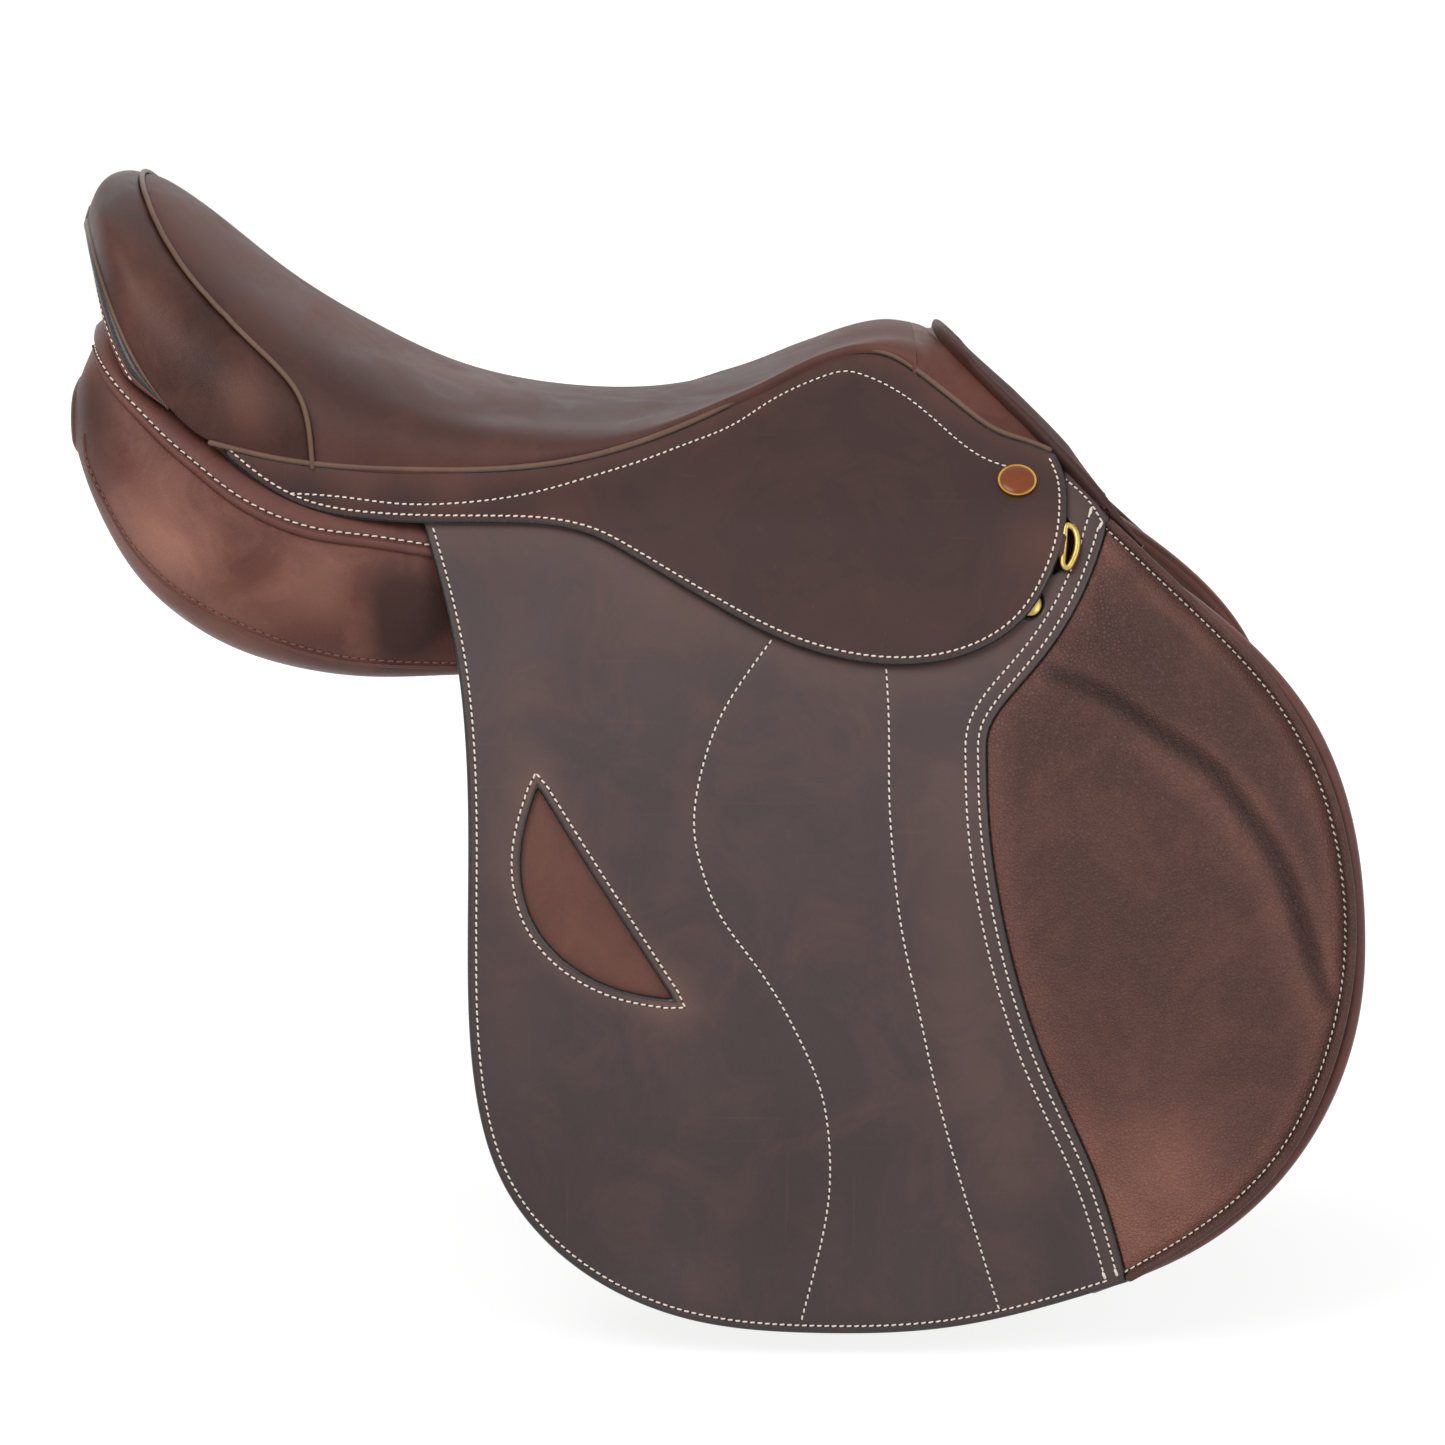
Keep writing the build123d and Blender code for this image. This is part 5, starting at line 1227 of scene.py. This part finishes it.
def pad_swell(points):
    """The pad's height: low at the flap, high along the roll, and drawn in at the seam."""
    from_flap = nearest(points, front_curve)
    from_seam = nearest(points, pad_edge_row)
    index = np.array([np.argmin(np.sum((crease_line - p) ** 2, axis=1)) for p in points])
    gap = np.sum((points - crease_line[index]) * crease_side[index], axis=1)
    away = np.linalg.norm(points - crease_line[index], axis=1)
    ends = np.clip(np.minimum(index, len(crease_line) - 1 - index) / CREASE_FADE, 0, 1)
    in_front = np.where(gap > 0, 1 - np.exp(-away / ROLL_REACH), 0.0) * ends
    dip = CREASE_DEPTH * np.exp(-(away / CREASE_REACH) ** 2) * ends
    body = PAD_RISE * (1 - np.exp(-from_flap / FLAP_REACH)) * (1 - np.exp(-from_seam / SEAM_REACH))
    return body - PAD_SUNK + ROLL_RISE * in_front * (1 - np.exp(-from_seam / ROLL_SEAM_REACH)) - dip


pad_loop = closed(PAD_FRONT, FLAP_FRONT[::-1])
# Painted light and shade on the knee pad: a line of painted shade in the crease, painted highlights beside it
# and along the seam, a large painted highlight at the lower corner and painted shade high up and on the roll;
# a redder strip runs beside the flap's edge.
pad_wear_and_light = [(crease_line - crease_side * 1.0, 3.2, -1.0), (crease_line + crease_side * 6, 4.0, 0.35),
            (crease_line - crease_side * 9, 8.0, 0.35), (inset(pad_edge_row, -6.0, False), 4.0, 0.4),
            (front_curve, 9.0, 0.45), ([(252, -214), (244, -228)], 34.0, 1.1), ([(222, 10)], 40.0, -0.5),
            ([(304, -7)], 30.0, -0.3)]
knee_pad = cut_sheet("knee_pad_right", pad_loop, side_place, FLAP_IN + 0.2, FLAP_OUT + 0.6, [pad_hide] * 3,
                     seams=[pad_edge_row], spacing=3.5, relief=pad_swell, groove=0.7, wear_and_light_marks=pad_wear_and_light)
hand_over(knee_pad, ["knee_pad_top", "knee_pad"], "calf_leather", bend=FLAP_BEND)


def pad_place(points, out=0.0):
    """Places side-view points on the pad's face."""
    return side_place(points, out + FLAP_OUT + 0.6 + pad_swell(np.asarray(points, float)))


sewn("knee_pad_stitches", [pad_edge_row], pad_place, 0.3, "calf_leather", bend=FLAP_BEND)
pad_bead_line = inset(smooth(PAD_FRONT, 2.0), -PAD_BEAD_INSET, False)[1:-1]
pad_bead = tube("knee_pad_bead_right", side_place(pad_bead_line, FLAP_OUT - 0.6), PAD_BEAD_RADIUS, pad_hide,
                sides=14, up=(0, -1, 0))
hand_over(pad_bead, [], "calf_leather", bend=FLAP_BEND)

# ---------------------------------------------------------------- skirts
# The skirt of waxed leather covers the stirrup bar. A bronze piping joins it to the seat, two rows
# of stitches follow its edges, and a nail holds its front corner.
SKIRT_IN, SKIRT_OUT = 15.4, 19.4
SKIRT_BEND = ("skirt", 56.0, 78.0)
SKIRT_STAND, SKIRT_STAND_REACH = 1.6, 14.0
SKIRT_ROW_INSET = 3.7
WELT = [(-166, 111), (-133, 103.5), (-82, 99.5), (-40, 99.5), (-8, 103), (25, 111), (58, 123), (84, 135),
        (104, 143.5), (121, 147), (136, 145), (152, 135.5), (168, 123.5), (184, 113), (198, 108.5),
        (209, 104)]
UPPER_ROW = [(-132, 88.5), (-109, 87), (-84, 84), (-61, 84), (-40, 86), (-19, 90), (2, 96), (23, 102),
             (44, 109), (66, 117), (80, 125), (95, 132), (106, 136), (116, 138), (125, 136), (140, 129),
             (155, 118), (167, 108), (179, 101), (187, 98.5)]
skirt_hide = leather("skirt_hide", "3d2b29", "312525", "5e3f38", Grain_Scale=1900.0, Grain=0.12, Mottle=0.4,
                     Scratches=0.04, Shine=0.5)
skirt_row = inset(skirt_edge, SKIRT_ROW_INSET, False)[2:]
upper_row = smooth(UPPER_ROW, 2.0)
skirt_loop = closed(SKIRT_REAR + SKIRT_LOBE + SKIRT_FRONT, WELT[::-1])


def skirt_lift(points):
    """The lobe's free edge stands a little off the flap."""
    along = np.clip((points[:, 0] + 20) / 60, 0, 1)
    return SKIRT_STAND * np.exp(-nearest(points, skirt_edge) / SKIRT_STAND_REACH) * along


skirt_wear = [(smooth(WELT, 3.0), 8.0, 0.6), (skirt_edge, 4.0, 0.3), ([(-100, 92), (-60, 88)], 12.0, 0.5),
              ([(-12, 80), (203, 66)], 16.0, 0.5)]
# The skirt's rounded black edge is 2 mm wide: edge paint, drawn wide so that it also gives the painted shade
# under its lower edge.
skirt = cut_sheet("skirt_right", skirt_loop, side_place, SKIRT_IN, SKIRT_OUT,
                  [skirt_hide, black_edge, sweat_hide], seams=[skirt_row, upper_row], edge=2.0,
                  relief=skirt_lift, drop=0.4, wear_and_light_marks=skirt_wear)
hand_over(skirt, ["skirt_top", "skirt"], "flap_leather", bend=SKIRT_BEND)


def skirt_place(points, out=0.0):
    """Places side-view points on the skirt's face."""
    return side_place(points, out + SKIRT_OUT + skirt_lift(np.asarray(points, float)))


sewn("skirt_stitches", [skirt_row, upper_row], skirt_place, -0.2, "flap_leather", bend=SKIRT_BEND)
welt_line = smooth(WELT, 3.0)
skirt_welt = tube("skirt_welt_right", side_place(welt_line[:-1], SKIRT_OUT - 0.4), 1.3, bronze_piping,
                  sides=14, up=(0, -1, 0.3))
hand_over(skirt_welt, ["skirt_welt"], "piping")

# ---------------------------------------------------------------- pommel
# Calf drawn over the head of the tree fills the front between the seat and the skirts, and a
# stuffed roll finishes the saddle's front edge from one flap to the other.
HOOD_SHOULDER_Z, HOOD_RISE, HOOD_FOOT_Z = 134.0, 12.0, 58.0
ARCH_SMOOTHING, LEAST_PUSH = 8, 0.62
shoulder_y = float(half_width(TWIST_FRONT_X, HOOD_SHOULDER_Z))
arch_y = np.linspace(0, shoulder_y, 30)
foot_z = np.linspace(HOOD_SHOULDER_Z, HOOD_FOOT_Z, 50)[1:]
arch = np.concatenate([
    np.stack([arch_y, HOOD_SHOULDER_Z + HOOD_RISE * (1 - (arch_y / shoulder_y) ** 2)], axis=1),
    np.stack([half_width(TWIST_FRONT_X, foot_z), foot_z], axis=1)])
arch_travel = travelled(arch)
arch_run = unit(np.gradient(arch, axis=0))
arch_normal = np.stack([-arch_run[:, 1], arch_run[:, 0]], axis=1)
for _ in range(ARCH_SMOOTHING):
    arch_normal[1:-1] = (arch_normal[:-2] + 2 * arch_normal[1:-1] + arch_normal[2:]) / 4
arch_normal[0] = (0, 1)
arch_normal *= np.maximum(arch_normal[:, 0], LEAST_PUSH)[:, None]


def hood_place(points, out=0.0):
    """Places (x, distance round the arch) pairs on the pommel, above zero on the right."""
    points = np.asarray(points, float)
    at = np.abs(points[:, 1])
    sign = np.sign(points[:, 1])
    y, z, push_y, push_z = (np.interp(at, arch_travel, values) for values in (*arch.T, *arch_normal.T))
    return np.stack([points[:, 0], -sign * (y + push_y * out), z + push_z * out], axis=1)


def round_arch(line, out):
    """Side-view points at or above the foot, as pairs for hood_place."""
    heights = arch[:, 1] + arch_normal[:, 1] * out
    return np.array([(x, np.interp(-z, -heights, arch_travel)) for x, z in line])


FRONT_TOP = [(155, 153), (187, 124), (218, 96), (250, 66.5)]
FACING_OUT = 14.6
FACING_REAR_X = 146.0
ROLL_MIDDLE_OUT, ROLL_HALF_DEPTH = 3.5, 12.6
ROLL_TOP_OUT = ROLL_MIDDLE_OUT + ROLL_HALF_DEPTH
ROLL_HALF_WIDTHS = ([0.0, 30.0, 70.0, 100.0], [2.0, 2.6, 3.4, 3.7])
ROLL_LEAD, ROLL_LEAD_Z, ROLL_FOOT_Z, ROLL_SIDES = 4.6, 76.0, 66.0, 28
CROWN_DIP, CROWN_REACH = 6.5, 26.0


def crown_dip(across):
    """How much lower the roll and the facing lie at the crown of the arch."""
    return CROWN_DIP * np.exp(-(np.asarray(across) / CROWN_REACH) ** 2)


front_side = smooth([(147, 160), *FRONT_TOP], 2.0)
ridge_z = arch[:, 1] + arch_normal[:, 1] * ROLL_TOP_OUT
half_front = []
for a in np.arange(0.0, arch_travel[-1], 2.5):
    height = np.interp(a, arch_travel, ridge_z) - crown_dip(a)
    if height > ROLL_FOOT_Z:
        ahead = ROLL_LEAD * np.clip((height - ROLL_LEAD_Z) / 40.0, 0, 1)
        ahead *= 1 - 0.9 * math.exp(-(a / 22.0) ** 2)
        ahead -= 0.8 * np.interp(a, *ROLL_HALF_WIDTHS)
        half_front.append((np.interp(0.8 - height, -front_side[:, 1], front_side[:, 0]) + ahead, a))
whole_front = smooth([(x, -a) for x, a in half_front[:0:-1]] + half_front, 2.5)
roll_out = ROLL_MIDDLE_OUT - crown_dip(whole_front[:, 1])
path = hood_place(whole_front, roll_out)
raised = unit(hood_place(whole_front, roll_out + 1.0) - path)
run = unit(np.gradient(path, axis=0))
raised = unit(raised - run * np.sum(raised * run, axis=1)[:, None])
across = np.cross(run, raised)
angle = np.linspace(0, 2 * math.pi, ROLL_SIDES, endpoint=False)
oval = np.stack([np.sign(np.cos(angle)) * np.abs(np.cos(angle)) ** 0.75,
                 np.sign(np.sin(angle)) * np.abs(np.sin(angle)) ** 0.75 * ROLL_HALF_DEPTH], axis=1)
widths = np.interp(np.abs(whole_front[:, 1]), *ROLL_HALF_WIDTHS)
ends = np.clip((np.abs(whole_front[-1, 1]) - np.abs(whole_front[:, 1])) / 20.0, 0.12, 1.0) ** 0.6
rings = [point + np.outer(oval[:, 0] * width * end, side_way) + np.outer(oval[:, 1], up) * end
         for point, side_way, up, width, end in zip(path, across, raised, widths, ends)]
# The front roll's calf is darker than the facing's, as painted shade on the saddle's front, which lies in
# shade.
shaded_front_calf = leather("shaded_front_calf", "432a26", "2c1c1a", "5c3d36", Grain_Scale=1100.0, Grain=0.4, Mottle=0.4,
                     Scratches=0.02, Shine=0.5)
dress(ring_loft("front_roll_leather", rings, shaded_front_calf), ["front_roll"], "calf_leather")

facing_low = round_arch(smooth([(231, 79), (223, 89), (213, 99)], 2.0), FACING_OUT)
pommel_edge = [tuple(p) for p in inset(smooth(half_front, 3.0), 1.6, False)
               if 1.0 < p[1] < facing_low[0, 1] - 2]
pommel_edge.append((facing_low[0, 0] + 1.0, facing_low[0, 1]))
facing_front = np.array([(x, -a) for x, a in pommel_edge[::-1]] + pommel_edge)
low_right = [pommel_edge[-1], *[tuple(p) for p in facing_low]]
low_left = [(x, -a) for x, a in low_right[::-1]]
rear_a = low_right[-1][1]
facing_loop = closed(low_left, facing_front, low_right,
                     *runs(low_right[-1], (FACING_REAR_X, rear_a), (FACING_REAR_X, -rear_a), low_left[0]))

# At its rear the facing lies flush with the seat's skin.
SEAT_FRONT_X = SEAT[-1][0]
seat_rim = seat_grid[-1][:, 1:]
trial_a, trial_out = np.linspace(0, rear_a, 60), np.linspace(0, 30, 121)
flush_out = []
for a in trial_a:
    trial = hood_place([(SEAT_FRONT_X, a)] * len(trial_out), trial_out)[:, 1:]
    miss = np.min(np.linalg.norm(trial[:, None] - seat_rim[None], axis=2), axis=1)
    flush_out.append(trial_out[np.argmin(miss)])


def pommel_swell(points):
    """The facing swells from the front roll, and runs flush into the seat at its rear."""
    swell = 1.2 * (1 - np.exp(-nearest(points, facing_front) / 5.0)) - crown_dip(points[:, 1])
    flush = np.interp(np.abs(points[:, 1]), trial_a, flush_out) - FACING_OUT - 0.3
    share = np.clip((points[:, 0] - FACING_REAR_X - 2.0) / 12.0, 0, 1)
    share = share ** 2 * (3 - 2 * share)
    return flush * (1 - share) + swell * share


facing_calf = leather("facing_calf", "5a342d", "3b231e", "8a5b4d", Grain_Scale=1400.0, Grain=0.3, Mottle=0.35,
                      Scratches=0.02, Shine=0.42)
pommel_facing = cut_sheet("pommel_facing_leather", facing_loop, hood_place, FACING_OUT - 3.0, FACING_OUT,
                          [facing_calf] * 3, relief=pommel_swell)
dress(pommel_facing, ["pommel_facing"], "calf_leather")

# ---------------------------------------------------------------- metalwork
# Brass saddle nails with enamelled heads, brass dees in leather chapes for the breastplate, and a
# brass stud through each flap.
brass = metal("brass", "c8aa66", "8f773f", 500.0)
gilt = metal("gilt_rim", "d0a04a", "a87a36", 900.0)
keep_node("saddle_nails", gilt)

# Each dee is a round wire bent to a D; its straight bar is held in a folded strap under the skirt.
DEE_OUT, DEE_WIRE_RADIUS = 18.0, 1.5
DEE_LINE = [(210.8, 64), (211.4, 70.5), (212.6, 74.2), (214.8, 73.4), (216.8, 69.5), (216.4, 63.5),
            (214.2, 58.4), (212.0, 56.2), (210.6, 57.2), (210.4, 60.2), (210.8, 64), (211.1, 66.5)]
dee = tube("d_ring_wire_right", side_place(smooth(DEE_LINE, 0.8), DEE_OUT), DEE_WIRE_RADIUS, brass, sides=14,
           up=(0, -1, 0.3))
hand_over(dee, ["d_ring"], "brass", body="d_ring")
CHAPE_IN, CHAPE_OUT = 12.2, 14.6
CHAPE_FOLD = [(209.3, 62), (209.9, 65.5), (210.5, 69)]
chape_loop = closed(*runs((192, 61), (209.5, 61.5), (210.5, 69.5), (193, 71), (192, 61)), step=1.5)
chape = cut_sheet("d_ring_strap_right", chape_loop, side_place, CHAPE_IN, CHAPE_OUT,
                  [strap_hide, black_edge, strap_hide], spacing=2.0, edge=0.6)
chape_fold = tube("d_ring_fold_right", side_place(CHAPE_FOLD, DEE_OUT - 0.4), 2.3, strap_hide, sides=14,
                  up=(0, -1, 0.3))
for piece in (chape, chape_fold):
    for one in (piece, mirrored(piece)):
        dress(one, ["d_ring_chapes"], "strap_leather")


DOME_SIDES = 28
# A button's profile, as (share of its radius, share of its rise).
DOME_SHAPE = [(1.0, -0.6), (1.0, 0.0), (0.97, 0.3), (0.88, 0.58), (0.7, 0.82), (0.4, 0.96), (0.12, 1.0)]


def dome(name, middle, radius, base_out, rise, place, material, node_name, slot):
    """A shallow round button on a surface, with its twin on the other side."""
    rings = [place(circle(*middle, radius * share, DOME_SIDES), base_out + rise * level)
             for share, level in DOME_SHAPE]
    button = ring_loft(f"{name}_right", rings, material)
    for one in (button, mirrored(button)):
        dress(one, [node_name], slot)


dome("flap_stud_head", FLAP_STUD, FLAP_STUD_RADIUS, FLAP_OUT - 1.0, 2.0, side_place, brass, "flap_studs",
     "brass")
NAIL_PLACE, NAIL_RADIUS, NAIL_FACE = (191.0, 92.0), 8.0, 1.6
nail_middle = side_place([NAIL_PLACE], SKIRT_OUT)[0]
nail_out = np.array([0.0, -1.0, FRONT_SLOPE]) / math.hypot(1.0, FRONT_SLOPE)
nail_up = np.cross(nail_out, [1.0, 0.0, 0.0])


def nail_place(points, out=0.0):
    """Places points on the sloping face of the right-hand nail."""
    points = np.asarray(points, float)
    return nail_middle + points[:, :1] * [1.0, 0.0, 0.0] + points[:, 1:] * nail_up + nail_out * out


enamel, tree, principled = new_material("amber_enamel", Coat_Weight=0.25, Coat_Roughness=0.08,
                                        Specular_IOR_Level=0.25)
depth = noise(tree, 90.0)
connect(tree, principled, mixed(tree, depth, tone("5c2600"), tone("8a4104")),
        spread(tree, depth, 0, 1, 0.25, 0.35))
dome("nail_enamel", (0.0, 0.0), NAIL_RADIUS, NAIL_FACE, 1.3, nail_place, enamel, "nail_caps", "enamel")

# ---------------------------------------------------------------- stage, lamps and camera
# A pale floor below the saddle keeps its shadow. Soft square lamps and a white world light it, and
# the camera stands to its right, a little above its middle.
FLOOR_Z, FLOOR_SIZE = -0.293, 6.0
FLOOR_NEAR, FLOOR_FAR, FLOOR_GLOW = 0.3, 1.4, 0.82
FLOOR_GREY, FLOOR_SHADE, WHITE = (0.8, 0.8, 0.8, 1), (0.28, 0.28, 0.28, 1), (1, 1, 1, 1)
WORLD_LIGHT = 0.55


def seen_directly(tree):
    """One for the rays of the camera, of gloss and of glass, and zero for the rest."""
    path = tree.nodes.new("ShaderNodeLightPath")
    direct = reckon(tree, "MAXIMUM", path.outputs["Is Camera Ray"], path.outputs["Is Transmission Ray"])
    return reckon(tree, "MAXIMUM", direct, path.outputs["Is Glossy Ray"])


floor_mesh = bpy.data.meshes.new("floor")
made = bmesh.new()
bmesh.ops.create_grid(made, x_segments=2, y_segments=2, size=FLOOR_SIZE)
made.to_mesh(floor_mesh)
made.free()
floor = in_scene(bpy.data.objects.new("floor", floor_mesh))
floor.location.z = FLOOR_Z
floor_paint, tree, lit = new_material("floor_paint", Base_Color=FLOOR_GREY, Roughness=0.9)
distance = node(tree, "VectorMath", {0: node(tree, "TexCoord").outputs["Object"]}, operation="LENGTH")
brightness = spread(tree, distance.outputs["Value"], FLOOR_NEAR, FLOOR_FAR, FLOOR_GLOW, 1.0)
glow = node(tree, "Emission", {"Color": WHITE, "Strength": brightness})
dimmed = node(tree, "BsdfDiffuse", {"Color": FLOOR_SHADE})
pale = node(tree, "AddShader", enumerate((glow.outputs[0], dimmed.outputs[0])))
floor_choice = node(tree, "MixShader", enumerate((seen_directly(tree), lit.outputs[0], pale.outputs[0])))
feed(tree, tree.nodes["Material Output"].inputs[0], floor_choice.outputs[0])
floor_mesh.materials.append(floor_paint)

world = bpy.data.worlds.new("studio")
bpy.context.scene.world = world
world.use_nodes = True
tree = world.node_tree
light = tree.nodes["Background"]
light.inputs["Strength"].default_value = WORLD_LIGHT
light.inputs["Color"].default_value = WHITE
seen = node(tree, "Background", {"Color": WHITE, "Strength": 1.0})
choice = node(tree, "MixShader", enumerate((seen_directly(tree), light.outputs[0], seen.outputs[0])))
feed(tree, tree.nodes["World Output"].inputs[0], choice.outputs[0])

# Each lamp is a soft square: its place, what it is aimed at, its side in metres and its watts.
LAMPS = {"key_lamp": ((-0.7, -1.5, 1.5), (0, 0, 0), 1.2, 24),
         "front_lamp": ((1.5, -1.5, 0.6), (0.05, 0, -0.05), 1.2, 9),
         "rear_lamp": ((-0.2, 1.8, 1.6), (0, 0, 0), 1.6, 5)}


def aimed(made, place, aim):
    """Sets a lamp or a camera at a place and turns it towards its aim."""
    made.location = place
    made.rotation_euler = (Vector(aim) - made.location).to_track_quat("-Z", "Y").to_euler()
    return made


for name, (place, aim, size, watts) in LAMPS.items():
    lamp = bpy.data.lights.new(name, "AREA")
    lamp.size = size
    lamp.energy = watts
    in_scene(aimed(bpy.data.objects.new(name, lamp), place, aim))

CAMERA_AIM = Vector((0.060, 0.0, -0.032))
CAMERA_DISTANCE, CAMERA_ELEVATION = 2.2, math.radians(9.0)
camera_data = bpy.data.cameras.new("camera")
camera_data.sensor_width = 36.0
camera_data.lens = 116.6
camera_way = Vector((0, -math.cos(CAMERA_ELEVATION), math.sin(CAMERA_ELEVATION)))
camera = bpy.data.objects.new("camera", camera_data)
bpy.context.scene.camera = in_scene(aimed(camera, CAMERA_AIM + camera_way * CAMERA_DISTANCE, CAMERA_AIM))
bpy.context.scene.view_settings.view_transform = "Standard"
